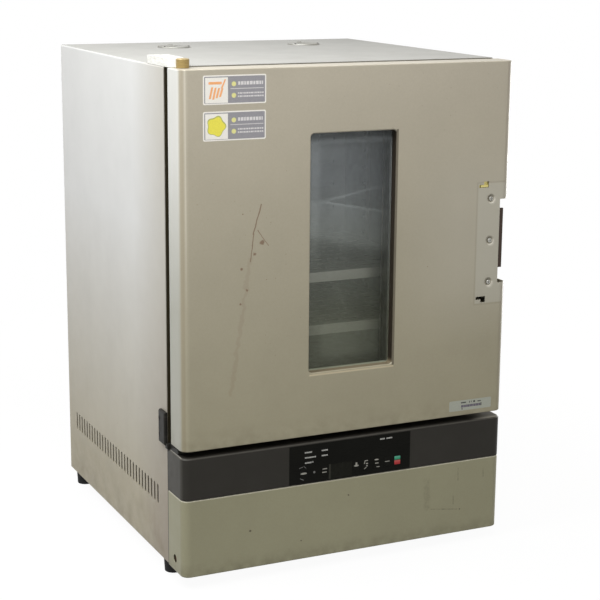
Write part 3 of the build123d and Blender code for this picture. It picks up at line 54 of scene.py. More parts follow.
# Places taken from the frame, and places where a colour changes. A pair says where the change starts and
# ends. Two pairs are the sides and the heights of an area.
ORIGIN = Vector(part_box("outer_case")[0])
DOOR_FRONT = (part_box("door_skin")[0][1] - ORIGIN.y) / MM
OVERLAY_FRONT = (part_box("control_overlay")[0][1] - ORIGIN.y) / MM
KEY_FRONT = (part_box("key_up")[0][1] - ORIGIN.y) / MM
LID_UNDER, LID_OVER = 821.0, 821.8
PANEL_BEHIND, PANEL_BEFORE = -2.2, -3.2
DOOR_LEFT_FACE = (2.6, 0.6)
DOOR_RIGHT_EDGE = (595.0, 599.5)
WINDOW_HOLE = ((220.5, 382.0), (317.0, 718.0))
WINDOW_SHADE = ((378.2, 381.8), (318.0, 716.0))
SILL_SHADE = ((226.0, 379.0), (317.4, 319.6))
SILL_HIGHLIGHT = ((224.0, 381.0), (315.0, 317.8))
PANE_SEEN = ((225.4, 378.0), (321.7, 713.6))
PANE_EDGE_LOW = (326.0, 323.0)
PANE_TOP_LIGHT = (692.0, 700.0)
GRIP_MARK = ((537.0, 620.0), (409.0, 617.0))
GRIP_MARK_RIM = ((534.5, 620.0), (406.5, 619.5))
GRIP_SCREWS = [(563.5, height) for height in (590.0, 518.0, 445.5)]
SHELF_FRONT = (49.0, 47.5)
BETWEEN_SHELVES = (420.0, 400.0)
BUSH_TOP = (834.6, 836.2)
PANEL_RIM_HIGHLIGHT = (126.8, 127.8)
BAND_LEFT_FACE = (3.0, 0.5)
BAND_BEVEL = (198.6, 200.2)
BAND_TOP = (200.2, 200.5)
DISPLAY_LEFT = (266.0, 264.8)


def srgb(red, green, blue):
    """A linear colour from the 0 to 255 numbers of a screen."""
    linear = []
    for value in (red, green, blue):
        value /= 255
        linear.append(value / 12.92 if value <= 0.04045 else ((value + 0.055) / 1.055) ** 2.4)
    return (*linear, 1.0)


class Finish:
    """One node material whose patterns are measured in millimetres on the object."""

    def __init__(self, name):
        self.material = bpy.data.materials.new(name)
        self.material.use_nodes = True
        self.tree = self.material.node_tree
        self.shader = self.tree.nodes["Principled BSDF"]
        texture = self.node("ShaderNodeTexCoord")
        from_corner = self.vector("SUBTRACT", texture.outputs["Object"], ORIGIN)
        self.place = self.vector("MULTIPLY", from_corner, (1 / MM, 1 / MM, 1 / MM))
        split = self.node("ShaderNodeSeparateXYZ")
        self.put(self.place, split.inputs[0])
        self.x, self.y, self.z = split.outputs

    def node(self, kind, **settings):
        """A new node with these settings."""
        made = self.tree.nodes.new(kind)
        for key, value in settings.items():
            setattr(made, key, value)
        return made

    def put(self, value, socket):
        """Links an output to a socket, or gives the socket a constant."""
        if isinstance(value, bpy.types.NodeSocket):
            self.tree.links.new(value, socket)
        else:
            socket.default_value = value

    def set(self, **values):
        """Sets or links inputs of the shader by name."""
        for name, value in values.items():
            self.put(value, self.shader.inputs[name.replace("_", " ").title().replace("Ior", "IOR")])

    def vector(self, operation, a, b):
        """A vector sum, product or other result."""
        made = self.node("ShaderNodeVectorMath", operation=operation)
        self.put(a, made.inputs[0])
        self.put(b, made.inputs[1])
        return made.outputs["Value" if operation in ("DISTANCE", "DOT_PRODUCT") else "Vector"]

    def math(self, operation, a, b):
        """A result of two numbers."""
        made = self.node("ShaderNodeMath", operation=operation)
        self.put(a, made.inputs[0])
        self.put(b, made.inputs[1])
        return made.outputs[0]

    def times(self, a, b):
        """Two numbers multiplied."""
        return self.math("MULTIPLY", a, b)

    def ramp(self, value, low, high, to_low=0.0, to_high=1.0):
        """The value spread from one range to another, held at both ends."""
        made = self.node("ShaderNodeMapRange")
        for i, number in enumerate((value, low, high, to_low, to_high)):
            self.put(number, made.inputs[i])
        return made.outputs[0]

    def mix(self, share, a, b):
        """A colour between two others."""
        made = self.node("ShaderNodeMix", data_type="RGBA")
        self.put(share, made.inputs[0])
        self.put(a, made.inputs[6])
        self.put(b, made.inputs[7])
        return made.outputs[2]

    def tint(self, tone, mask, share, colour):
        """The tone, changed by this share to a colour where the mask is 1."""
        return self.mix(self.times(mask, share), tone, colour)

    def noise(self, size, detail=3.0, rough=0.55, stretch=(1.0, 1.0, 1.0)):
        """Smooth noise with spots of about this size."""
        made = self.node("ShaderNodeTexNoise")
        self.put(self.vector("DIVIDE", self.place, stretch), made.inputs["Vector"])
        self.put(1.0 / size, made.inputs["Scale"])
        self.put(detail, made.inputs["Detail"])
        self.put(rough, made.inputs["Roughness"])
        return made.outputs["Fac"]

    def specks(self, pitch, radius, share):
        """Scattered dots: 1 inside a dot. Only this share of the cells holds one."""
        made = self.node("ShaderNodeTexVoronoi")
        self.put(self.place, made.inputs["Vector"])
        self.put(1.0 / pitch, made.inputs["Scale"])
        dot = self.ramp(made.outputs["Distance"], radius / pitch, radius / pitch * 0.5)
        split = self.node("ShaderNodeSeparateColor")
        self.put(made.outputs["Color"], split.inputs[0])
        chosen = self.ramp(split.outputs[0], share, share - 0.02)
        return self.times(dot, chosen)

    def inside(self, value, low, high, soft):
        """1 between two limits, falling off softly."""
        rise = self.ramp(value, low - soft, low + soft)
        fall = self.ramp(value, high - soft, high + soft, 1.0, 0.0)
        return self.times(rise, fall)

    def area(self, x, z, soft):
        """1 inside an upright rectangle."""
        return self.times(self.inside(self.x, *x, soft), self.inside(self.z, *z, soft))

    def streak(self, start, end, width, wobble):
        """1 on a thin crooked line between two places of the front."""
        sway = self.ramp(self.noise(14.0, 2.0), 0.0, 1.0, -wobble, wobble)
        flat = self.node("ShaderNodeCombineXYZ")
        self.put(self.math("ADD", self.x, sway), flat.inputs[0])
        self.put(self.z, flat.inputs[1])
        along = Vector((end[0] - start[0], end[1] - start[1], 0.0))
        local = self.vector("SUBTRACT", flat.outputs[0], (start[0], start[1], 0.0))
        share = self.vector("DOT_PRODUCT", local, tuple(along / along.length_squared))
        share = self.ramp(share, 0.0, 1.0)
        nearest = self.node("ShaderNodeVectorMath", operation="SCALE")
        nearest.inputs[0].default_value = tuple(along)
        self.put(share, nearest.inputs["Scale"])
        distance = self.vector("DISTANCE", local, nearest.outputs[0])
        return self.ramp(distance, width / 2, width / 5)

    def spot(self, x, z, radius):
        """1 on a small uneven round stain of the front."""
        flat = self.node("ShaderNodeCombineXYZ")
        self.put(self.x, flat.inputs[0])
        self.put(self.z, flat.inputs[1])
        distance = self.vector("DISTANCE", flat.outputs[0], (x, z, 0.0))
        uneven = self.ramp(self.noise(radius * 1.5, 2.0), *NOISE_RANGE, -radius / 3, radius / 3)
        distance = self.math("ADD", distance, uneven)
        return self.ramp(distance, radius * 1.1, radius * 0.6)

    def oval(self, x, z, wide, high):
        """1 inside a small ellipse of the front."""
        across = self.math("DIVIDE", self.math("SUBTRACT", self.x, x), wide / 2)
        along = self.math("DIVIDE", self.math("SUBTRACT", self.z, z), high / 2)
        square = self.math("ADD", self.math("POWER", across, 2.0), self.math("POWER", along, 2.0))
        return self.ramp(square, 1.15, 0.7)

    def over(self, start, end):
        """How far a place lies over the line through two places of the front."""
        slope = (end[1] - start[1]) / (end[0] - start[0])
        line = self.times(self.math("SUBTRACT", self.x, start[0]), slope)
        return self.math("SUBTRACT", self.math("SUBTRACT", self.z, start[1]), line)

    def less(self, mask, other):
        """A mask without another."""
        return self.times(mask, self.ramp(other, 0.0, 1.0, 1.0, 0.0))

    def most(self, masks):
        """The largest of several masks."""
        result = masks[0]
        for mask in masks[1:]:
            result = self.math("MAXIMUM", result, mask)
        return result

    def bump(self, height, depth):
        """Surface relief of this depth."""
        made = self.node("ShaderNodeBump")
        self.put(1.0, made.inputs["Strength"])
        self.put(depth * MM, made.inputs["Distance"])
        self.put(height, made.inputs["Height"])
        self.put(made.outputs[0], self.shader.inputs["Normal"])


# How far the grain of a metal is drawn out along x, y and z, and how deep it is.
BRUSHED_ACROSS = (30.0, 1.0, 1.0)
TURNED = (1.0, 1.0, 30.0)
GRAINLESS = (3.0, 3.0, 3.0)
GRAIN_DEPTH = 0.004


def shade(colour, factor):
    """A colour made darker or lighter."""
    return (*(part * factor for part in colour[:3]), 1.0)


def mottled(paint, colour, spot, amount):
    """A colour with soft lighter and darker areas."""
    share = paint.ramp(paint.noise(spot, 4.0), *NOISE_RANGE)
    return paint.mix(share, shade(colour, 1 - amount), shade(colour, 1 + amount))


def painted(name, colour, rough, relief=0.02, dust=0.0, amount=0.05, specular=0.5):
    """Sprayed and baked enamel with a fine orange-peel surface."""
    paint = Finish(name)
    tone = mottled(paint, colour, 90.0, amount)
    if dust:
        settled = paint.ramp(paint.noise(7.0, 4.0, 0.7), 0.55, 0.8, 0.0, dust)
        tone = paint.mix(settled, tone, srgb(150, 145, 135))
    paint.set(base_color=tone, specular_ior_level=specular)
    paint.set(roughness=paint.ramp(paint.noise(25.0), *NOISE_RANGE, rough - 0.05, rough + 0.06))
    paint.bump(paint.noise(2.2, 2.0), relief)
    return paint.material


def metal(name, colour, rough, grain, wear=0.25, stain=None):
    """Bare or plated metal with a grain along one axis and a few dull places."""
    bare = Finish(name)
    lines = bare.noise(0.9, 3.0, 0.6, grain)
    tone = bare.mix(bare.ramp(lines, *NOISE_RANGE), shade(colour, 0.86), shade(colour, 1.1))
    if stain:
        tone = bare.mix(bare.ramp(bare.noise(30.0, 4.0, 0.65), 0.45, 0.8, 0.0, 0.85), tone, stain)
    bare.set(base_color=tone, metallic=0.95)
    dull = bare.ramp(bare.noise(16.0, 4.0, 0.65), 0.35, 0.75, rough, rough + wear)
    bare.set(roughness=dull)
    bare.bump(lines, GRAIN_DEPTH)
    return bare.material


def moulded(name, colour, rough=0.45, relief=0.01, specular=0.4, amount=0.08):
    """Moulded plastic or rubber with a fine grained skin."""
    skin = Finish(name)
    skin.set(base_color=mottled(skin, colour, 12.0, amount), specular_ior_level=specular)
    skin.set(roughness=skin.ramp(skin.noise(5.0), *NOISE_RANGE, rough - 0.05, rough + 0.08))
    skin.bump(skin.noise(0.5, 2.0), relief)
    return skin.material


def case_finish():
    """Light enamel of the case: whiter high up as painted sheen, darker and yellower low down as painted
    shade and soil, and a lid darker as painted shade.
    """
    paint = Finish("case_enamel")
    # Painted light: the whiter upper colour stands for a sheen, and the darker, yellower lower one for
    # shade together with real soil.
    upper = mottled(paint, srgb(210, 209, 206), 110.0, 0.025)
    lower = mottled(paint, srgb(170, 161, 138), 110.0, 0.04)
    low_down = paint.ramp(paint.z, 560.0, 60.0)
    tone = paint.mix(low_down, upper, lower)
    # Darker towards the front edge, most low down.
    forward_part = paint.ramp(paint.y, 150.0, 0.0, 0.0, 0.62)
    forward_tone = paint.mix(paint.ramp(paint.z, 480.0, 60.0), srgb(164, 157, 141), srgb(138, 124, 114))
    tone = paint.mix(forward_part, tone, forward_tone)
    soil = paint.ramp(paint.noise(40.0, 5.0, 0.65), 0.4, 0.75)
    soil = paint.times(soil, paint.ramp(paint.z, 120.0, 0.0))
    tone = paint.tint(tone, soil, 0.5, srgb(112, 98, 74))
    marks = paint.specks(31.0, 0.8, 0.12)
    tone = paint.tint(tone, marks, 0.6, srgb(88, 70, 50))
    # Painted shade: the lid is darker than the sides, standing for less light on it.
    lid = paint.ramp(paint.z, LID_UNDER, LID_OVER)
    tone = paint.mix(lid, tone, mottled(paint, srgb(176, 175, 170), 70.0, 0.04))
    paint.set(base_color=tone, specular_ior_level=0.2)
    rough = paint.ramp(paint.noise(30.0), *NOISE_RANGE, 0.36, 0.46)
    paint.set(roughness=paint.math("ADD", rough, paint.times(lid, 0.2)))
    paint.bump(paint.noise(2.2, 2.0), 0.02)
    return paint.material


def door_finish():
    """Yellowed enamel of the door: rust specks, a dried run, a paler mark round the screws, darker low
    down as grime and painted shade, and painted light and shade on its left face, its rounded left edge,
    round the screws and at the window.
    """
    paint = Finish("door_enamel")
    # Darker low down: partly grime, partly painted shade.
    upper = mottled(paint, srgb(185, 178, 162), 120.0, 0.03)
    lower = mottled(paint, srgb(165, 159, 136), 120.0, 0.04)
    low_down = paint.ramp(paint.z, 800.0, 240.0)
    tone = paint.mix(low_down, upper, lower)
    fine = paint.ramp(paint.noise(3.5, 4.0, 0.7), 0.35, 0.7)
    tone = paint.tint(tone, fine, 0.10, srgb(140, 128, 104))
    on_front = paint.ramp(paint.y, DOOR_FRONT + 2.0, DOOR_FRONT + 0.5)
    paler = paint.area((440.0, 640.0), (400.0, 660.0), 60.0)
    tone = paint.tint(tone, paler, 0.3, srgb(200, 196, 184))

    ghost = paint.times(paint.area(*GRIP_MARK, 1.2), on_front)
    tone = paint.tint(tone, ghost, 0.5, srgb(192, 190, 178))
    rim = paint.less(paint.times(paint.area(*GRIP_MARK_RIM, 1.2), on_front), ghost)
    tone = paint.tint(tone, rim, 0.2, srgb(112, 98, 76))

    # Painted shade in the hollow round each screw, and a painted highlight on its lower right side.
    dimple_shade = paint.most([paint.oval(x - 1.5, z + 1.5, 15.0, 15.0) for x, z in GRIP_SCREWS])
    dimple_highlight = paint.most([paint.oval(x + 2.0, z - 3.5, 15.0, 14.0) for x, z in GRIP_SCREWS])
    dimple_highlight = paint.less(dimple_highlight, dimple_shade)
    tone = paint.tint(tone, dimple_shade, 0.35, srgb(104, 98, 80))
    tone = paint.tint(tone, dimple_highlight, 0.4, srgb(216, 212, 200))

    rusty = paint.most([
        paint.area((20.0, 210.0), (560.0, 690.0), 60.0),
        paint.area((100.0, 200.0), (360.0, 600.0), 40.0),
        paint.times(paint.area((200.0, 590.0), (700.0, 812.0), 20.0), 0.55),
    ])
    small = paint.times(paint.specks(9.0, 0.9, 0.30), rusty)
    sparse = paint.times(paint.specks(26.0, 1.5, 0.10), paint.ramp(paint.z, 260.0, 420.0, 0.3, 1.0))
    brown = paint.most([
        small,
        sparse,
        paint.streak((137.0, 607.0), (123.0, 560.0), 2.6, 1.6),
        paint.streak((124.0, 561.0), (118.0, 516.0), 2.0, 1.6),
        paint.streak((131.0, 566.0), (149.0, 540.0), 1.6, 2.0),
        paint.spot(139.0, 546.0, 4.5),
        paint.spot(126.0, 528.0, 3.2),
        paint.spot(112.0, 470.0, 2.2),
        paint.spot(101.0, 448.0, 2.0),
        paint.spot(103.0, 505.0, 2.4),
    ])
    brown = paint.times(brown, on_front)
    tone = paint.tint(tone, brown, 0.62, srgb(104, 62, 34))
    run = paint.streak((118.0, 520.0), (84.0, 300.0), 9.0, 8.0)
    tone = paint.tint(tone, run, 0.12, srgb(120, 84, 52))

    # Painted light: the door's left face is lighter, most high up, as if lit from the left.
    behind_rim = paint.ramp(paint.y, DOOR_FRONT + 5.0, DOOR_FRONT + 7.0)
    lit_left_face = paint.times(paint.ramp(paint.x, *DOOR_LEFT_FACE), behind_rim)
    lit_left_tone = paint.mix(paint.ramp(paint.z, 690.0, 440.0), srgb(207, 206, 200), srgb(171, 170, 159))
    tone = paint.mix(paint.times(lit_left_face, 0.95), tone, lit_left_tone)
    # Painted shade and a painted highlight across the rounded left edge of the door's front.
    outside = paint.ramp(paint.y, DOOR_FRONT + 16.0, DOOR_FRONT + 14.0)
    rounding_shade = paint.times(paint.inside(paint.x, 1.6, 7.0, 1.2), outside)
    tone = paint.tint(tone, rounding_shade, 0.42, srgb(126, 114, 92))
    rounding_highlight = paint.times(paint.inside(paint.x, 8.4, 10.2, 0.8), outside)
    rounding_highlight = paint.times(rounding_highlight, paint.ramp(paint.z, 440.0, 600.0, 0.0, 0.35))
    tone = paint.mix(rounding_highlight, tone, srgb(224, 220, 206))
    worn = paint.ramp(paint.noise(9.0, 4.0, 0.7), 0.5, 0.62)
    edge = paint.times(paint.ramp(paint.x, *DOOR_RIGHT_EDGE), worn)
    tone = paint.tint(tone, edge, 0.4, srgb(120, 104, 78))
    grime = paint.ramp(paint.noise(22.0, 4.0), 0.4, 0.7)
    grime = paint.times(paint.ramp(paint.z, 250.0, 212.0), grime)
    tone = paint.tint(tone, grime, 0.3, srgb(104, 98, 76))

    # Painted light round the window: highlights on the lip, warmer on the sill lip, painted shade on the
    # lip's right side and in the sill, and a painted highlight along the sill's edge.
    at_window = paint.area(*WINDOW_HOLE, 0.5)
    lip_highlight = paint.less(at_window, on_front)
    tone = paint.tint(tone, lip_highlight, 0.3, srgb(196, 190, 174))
    sill_lip_highlight = paint.times(lip_highlight, paint.ramp(paint.z, 322.0, 319.0))
    tone = paint.tint(tone, sill_lip_highlight, 0.12, srgb(210, 182, 140))
    shaded = paint.times(paint.area(*WINDOW_SHADE, 0.6), 0.75)
    tone = paint.mix(shaded, tone, srgb(66, 58, 46))
    sill_shade = paint.area(*SILL_SHADE, 0.6)
    tone = paint.tint(tone, sill_shade, 0.25, srgb(96, 84, 62))
    sill_highlight = paint.area(*SILL_HIGHLIGHT, 0.6)
    tone = paint.tint(tone, sill_highlight, 0.5, srgb(236, 220, 186))
    # Painted shade: the reveal round the window is dark, with painted light on the sill at its bottom.
    reveal = paint.times(at_window, paint.ramp(paint.y, DOOR_FRONT + 2.4, DOOR_FRONT + 3.4))
    reveal_shade_tone = paint.mix(paint.ramp(paint.z, 330.0, 322.0), srgb(46, 38, 30), srgb(124, 112, 90))
    tone = paint.mix(paint.times(reveal, 0.92), tone, reveal_shade_tone)

    paint.set(base_color=tone, specular_ior_level=0.25)
    smooth = paint.ramp(paint.noise(35.0), *NOISE_RANGE, 0.38, 0.48)
    paint.set(roughness=paint.math("ADD", smooth, paint.times(brown, 0.3)))
    relief = paint.math("ADD", paint.noise(2.2, 2.0), paint.times(brown, 0.6))
    paint.bump(relief, 0.025)
    return paint.material


def panel_finish():
    """Yellowed enamel of the lower panel: faint scuffs, dark spots, darker where it meets the case, and
    a painted highlight along its top rim.
    """
    paint = Finish("panel_enamel")
    tone = mottled(paint, srgb(157, 154, 128), 100.0, 0.04)
    left_part = paint.ramp(paint.x, 260.0, 0.0, 0.0, 0.4)
    tone = paint.mix(left_part, tone, srgb(144, 141, 117))
    fine = paint.ramp(paint.noise(3.5, 4.0, 0.7), 0.35, 0.7)
    tone = paint.tint(tone, fine, 0.12, srgb(132, 122, 96))
    smudge = paint.times(paint.streak((452.0, 100.0), (454.0, 52.0), 16.0, 5.0), 0.4)
    scratches = paint.most([
        smudge,
        paint.streak((462.0, 48.0), (515.0, 40.5), 2.4, 1.0),
        paint.streak((506.3, 66.0), (506.8, 51.0), 2.2, 1.0),
        paint.streak((514.8, 116.0), (515.3, 94.0), 2.2, 1.0),
        paint.streak((566.0, 109.0), (566.5, 94.0), 2.2, 1.0),
    ])
    broken = paint.ramp(paint.noise(8.0, 5.0, 0.75), 0.35, 0.65)
    scratches = paint.times(scratches, broken)
    tone = paint.tint(tone, scratches, 0.6, srgb(74, 76, 58))
    spots = paint.most([
        paint.spot(118.0, 62.0, 2.4),
        paint.spot(300.0, 98.0, 1.5),
        paint.spot(212.0, 30.0, 1.4),
        paint.spot(520.0, 40.0, 1.6),
        paint.specks(34.0, 0.9, 0.15),
    ])
    tone = paint.tint(tone, spots, 0.75, srgb(62, 50, 36))
    low = paint.ramp(paint.noise(18.0, 4.0), 0.35, 0.7)
    low = paint.times(paint.ramp(paint.z, 22.0, -2.0), low)
    tone = paint.tint(tone, low, 0.4, srgb(92, 86, 66))
    # Painted highlight along the rounded top rim.
    rim_highlight = paint.ramp(paint.z, *PANEL_RIM_HIGHLIGHT, 0.0, 0.8)
    tone = paint.mix(rim_highlight, tone, srgb(206, 202, 184))
    joint = paint.ramp(paint.y, PANEL_BEFORE, PANEL_BEHIND, 0.0, 0.9)
    tone = paint.mix(joint, tone, srgb(44, 38, 28))
    paint.set(base_color=tone, specular_ior_level=0.25)
    paint.set(roughness=paint.ramp(paint.noise(35.0), *NOISE_RANGE, 0.38, 0.48))
    paint.bump(paint.noise(2.2, 2.0), 0.025)
    return paint.material


def glass_finish():
    """Window glass, hazy with grease wiped in wide strokes and a dried patch low down; the hazing is
    partly a painted reflection, brighter and bluer high up and to the left, with painted light along the
    top edge and paler edges.
    """
    pane = Finish("window_glass")
    # The hazing stands partly for real grease and partly for a painted reflection, brightest high up and
    # to the left and fading to the right.
    first = ((251.5, 601.0), (385.2, 624.8))
    second = ((251.5, 601.0), (386.5, 574.5))
    third = ((257.4, 538.0), (388.1, 509.1))
    high = pane.ramp(pane.over(*first), -4.0, 6.0, 0.0, -0.01)
    top = pane.ramp(pane.z, 660.0, 712.0, 0.0, 0.03)
    under_second = pane.ramp(pane.over(*second), 3.0, -3.0)
    over_third = pane.ramp(pane.over(*third), -2.0, 6.0)
    wiped = pane.times(pane.times(under_second, over_third), 0.05)
    low = pane.ramp(pane.over(*third), 0.0, -14.0, 0.0, -0.055)
    upper_half = pane.ramp(pane.z, 470.0, 560.0, 0.2, 1.0)
    left = pane.times(pane.times(pane.ramp(pane.x, 254.0, 240.0), upper_half), 0.09)
    lines = pane.most([pane.streak(*first, 5.0, 0.8), pane.streak(*second, 5.0, 0.8)])
    lines = pane.times(lines, pane.ramp(pane.x, 390.0, 300.0, 0.03, 0.08))
    scratch = pane.times(pane.streak((280.0, 462.0), (304.0, 409.0), 5.0, 3.0), 0.035)
    patch = pane.times(pane.area((252.0, 364.0), (339.0, 396.0), 6.0), 0.06)
    smear = pane.noise(46.0, 4.0, 0.6, (1.0, 1.0, 1.6))
    haze_and_reflection = pane.ramp(smear, *NOISE_RANGE, 0.15, 0.19)
    for share in (high, top, wiped, low, left, lines, scratch, patch):
        haze_and_reflection = pane.math("ADD", haze_and_reflection, share)
    haze_and_reflection = pane.times(haze_and_reflection, pane.ramp(pane.x, 290.0, 362.0, 1.0, 0.45))
    fade = pane.ramp(pane.z, 430.0, 560.0, 0.45, 0.85)
    haze_and_reflection = pane.times(haze_and_reflection, pane.ramp(pane.x, 358.0, 368.0, 1.0, fade))
    # Painted light along the top edge, where the reveal's shadow falls on the pane.
    haze_and_reflection = pane.math("ADD", haze_and_reflection, pane.ramp(pane.z, *PANE_TOP_LIGHT, 0.0, 0.1))
    pane_seen = pane.area(*PANE_SEEN, 0.5)
    pale_edges = pane.ramp(pane.z, *PANE_EDGE_LOW, 0.35, 0.85)
    haze_and_reflection = pane.math("MAXIMUM", haze_and_reflection, pane.ramp(pane_seen, 0.0, 1.0, pale_edges, 0.0))
    outer = pane.ramp(pane.y, DOOR_FRONT + 30.0, DOOR_FRONT + 28.0)
    haze_and_reflection = pane.math("MAXIMUM", pane.times(haze_and_reflection, outer), 0.04)
    # Painted reflection: the pane is bluer high up.
    bluer_up = pane.ramp(pane.z, 400.0, 640.0)
    tone = pane.mix(bluer_up, srgb(176, 182, 162), srgb(200, 208, 212))
    pane.set(base_color=tone, alpha=haze_and_reflection, specular_ior_level=0.35)
    pane.set(roughness=pane.ramp(smear, 0.3, 0.8, 0.12, 0.3))
    pane.bump(smear, 0.01)
    return pane.material


def shelf_finish():
    """Brushed steel of the shelves, with a painted highlight on their front edge that fades to the right
    and is weaker on the lower shelf.
    """
    steel = Finish("shelf_steel")
    lines = steel.noise(0.9, 3.0, 0.6, BRUSHED_ACROSS)
    tone = steel.mix(steel.ramp(lines, *NOISE_RANGE), srgb(104, 103, 94), srgb(130, 130, 121))
    # Painted highlight on the front edges: weaker to the right, and darker on the lower shelf as painted
    # shade.
    lit = steel.ramp(steel.x, 402.0, 384.0, 0.3, 1.0)
    edge = steel.times(steel.ramp(steel.y, *SHELF_FRONT), lit)
    bright = steel.mix(steel.ramp(steel.z, *BETWEEN_SHELVES), srgb(152, 153, 143), srgb(122, 124, 114))
    tone = steel.mix(edge, tone, bright)
    steel.set(base_color=tone, metallic=steel.ramp(edge, 0.0, 1.0, 0.95, 0.1))
    steel.set(roughness=steel.ramp(steel.noise(16.0, 4.0, 0.65), 0.35, 0.75, 0.38, 0.6))
    steel.bump(lines, GRAIN_DEPTH)
    return steel.material


def wool_finish():
    """Matted mineral fibre."""
    wool = Finish("mineral_fibre")
    fibres = wool.noise(1.2, 5.0, 0.8, (6.0, 1.0, 1.0))
    tone = wool.mix(wool.ramp(fibres, *NOISE_RANGE), srgb(168, 156, 108), srgb(224, 216, 180))
    wool.set(base_color=tone)
    wool.set(roughness=wool.ramp(fibres, *NOISE_RANGE, 0.85, 1.0), specular_ior_level=0.1)
    wool.bump(fibres, 0.8)
    return wool.material


def bracket_finish():
    """Worn bright plating with scratches and dull yellowish patches."""
    plate = Finish("worn_plating")
    scratches = plate.noise(0.8, 3.0, 0.6, (1.0, 18.0, 1.0))
    tone = plate.mix(plate.ramp(scratches, 0.35, 0.65), srgb(214, 212, 202), srgb(240, 239, 234))
    patches = plate.ramp(plate.noise(9.0, 4.0, 0.7), 0.55, 0.72)
    tone = plate.tint(tone, patches, 0.4, srgb(168, 158, 130))
    plate.set(base_color=tone, metallic=0.15)
    plate.set(roughness=plate.ramp(patches, 0.0, 1.0, 0.3, 0.55))
    plate.bump(scratches, 0.01)
    return plate.material


def brass_finish():
    """Machined brass, paler and duller on its top."""
    brass = Finish("dull_brass")
    turned = brass.noise(0.7, 3.0, 0.6, (8.0, 8.0, 0.6))
    tone = brass.mix(brass.ramp(turned, *NOISE_RANGE), srgb(140, 118, 70), srgb(174, 152, 98))
    pale_top = brass.ramp(brass.noise(5.0, 4.0, 0.7), 0.35, 0.6, 0.3, 1.0)
    pale_top = brass.times(pale_top, brass.ramp(brass.z, *BUSH_TOP))
    tone = brass.tint(tone, pale_top, 0.5, srgb(222, 212, 186))
    brass.set(base_color=tone, metallic=0.5)
    brass.set(roughness=brass.ramp(pale_top, 0.0, 1.0, 0.34, 0.62))
    brass.bump(turned, 0.01)
    return brass.material


def board_finish():
    """Green lacquered circuit board with lighter tracks."""
    board = Finish("board_lacquer")
    brick = board.node("ShaderNodeTexBrick")
    board.put(board.place, brick.inputs["Vector"])
    board.put(0.16, brick.inputs["Scale"])
    board.put(0.05, brick.inputs["Mortar Size"])
    tracks = board.mix(brick.outputs["Fac"], srgb(26, 86, 52), srgb(58, 128, 80))
    tone = board.mix(board.ramp(board.noise(14.0), 0.4, 0.7, 0.0, 0.4), tracks, srgb(20, 62, 40))
    board.set(base_color=tone, roughness=board.ramp(board.noise(6.0), *NOISE_RANGE, 0.3, 0.42))
    board.bump(brick.outputs["Fac"], 0.05)
    return board.material


def fascia_finish():
    """Black polyester film with dust and hair scratches."""
    film = Finish("fascia_film")
    dust = film.specks(3.4, 0.16, 0.25)
    base = mottled(film, srgb(21, 21, 18), 30.0, 0.12)
    film.set(base_color=film.mix(film.times(dust, 0.3), base, srgb(110, 108, 100)))
    hair = film.noise(0.8, 3.0, 0.6, (22.0, 1.0, 1.0))
    film.set(roughness=film.ramp(hair, 0.4, 0.75, 0.26, 0.38), specular_ior_level=0.04)
    film.bump(hair, 0.003)
    return film.material


def key_finish():
    """The film over the keys, each with a plain pale mark; the last is half green and half red."""
    film = Finish("key_film")
    on_face = film.ramp(film.y, KEY_FRONT + 0.3, KEY_FRONT + 0.1)
    pale = film.most([
        film.oval(215.0, 148.4, 12.5, 3.6),
        film.area((250.0, 258.3), (150.7, 152.3), 0.3),
        film.area((249.2, 257.8), (144.9, 146.5), 0.3),
        film.oval(313.6, 148.8, 9.5, 3.2),
        film.area((312.0, 315.2), (150.0, 154.4), 0.4),
        film.streak((328.8, 150.4), (330.0, 155.2), 1.8, 0.3),
        film.streak((330.0, 155.2), (335.4, 155.2), 1.8, 0.3),
        film.area((331.8, 335.6), (148.9, 150.9), 0.4),
        film.area((332.2, 335.2), (144.9, 146.7), 0.4),
        film.streak((332.4, 143.2), (328.9, 141.0), 1.6, 0.3),
        film.oval(352.2, 154.4, 8.6, 2.6),
        film.area((349.4, 356.0), (147.3, 149.0), 0.3),
        film.streak((352.6, 141.6), (358.0, 141.2), 1.8, 0.3),
        film.area((368.4, 377.2), (147.9, 149.2), 0.3),
    ])
    pale = film.times(pale, on_face)
    green = film.times(film.area((386.4, 398.6), (149.2, 155.4), 0.5), on_face)
    red = film.times(film.area((386.4, 398.6), (140.8, 148.2), 0.5), on_face)
    tone = mottled(film, srgb(21, 21, 18), 12.0, 0.08)
    tone = film.tint(tone, pale, 0.85, srgb(178, 176, 168))
    green_tone = film.mix(film.ramp(film.z, 151.0, 155.0), srgb(62, 150, 116), srgb(104, 180, 156))
    tone = film.mix(green, tone, green_tone)
    red_tone = film.mix(film.ramp(film.z, 143.0, 148.0), srgb(184, 64, 66), srgb(206, 104, 102))
    tone = film.mix(red, tone, red_tone)
    film.set(base_color=tone, specular_ior_level=0.05)
    film.set(roughness=film.ramp(film.noise(5.0), *NOISE_RANGE, 0.4, 0.5))
    film.bump(film.noise(0.5, 2.0), 0.01)
    return film.material


def display_finish():
    """Smoked filter of the display, greyer along its left edge."""
    smoked = Finish("display_filter")
    tone = mottled(smoked, srgb(28, 28, 23), 14.0, 0.08)
    tone = smoked.mix(smoked.ramp(smoked.x, *DISPLAY_LEFT, 0.0, 0.9), tone, srgb(58, 58, 52))
    smoked.set(base_color=tone, specular_ior_level=0.05)
    smoked.set(roughness=smoked.ramp(smoked.noise(9.0), *NOISE_RANGE, 0.22, 0.32))
    smoked.bump(smoked.noise(2.0, 2.0), 0.002)
    return smoked.material


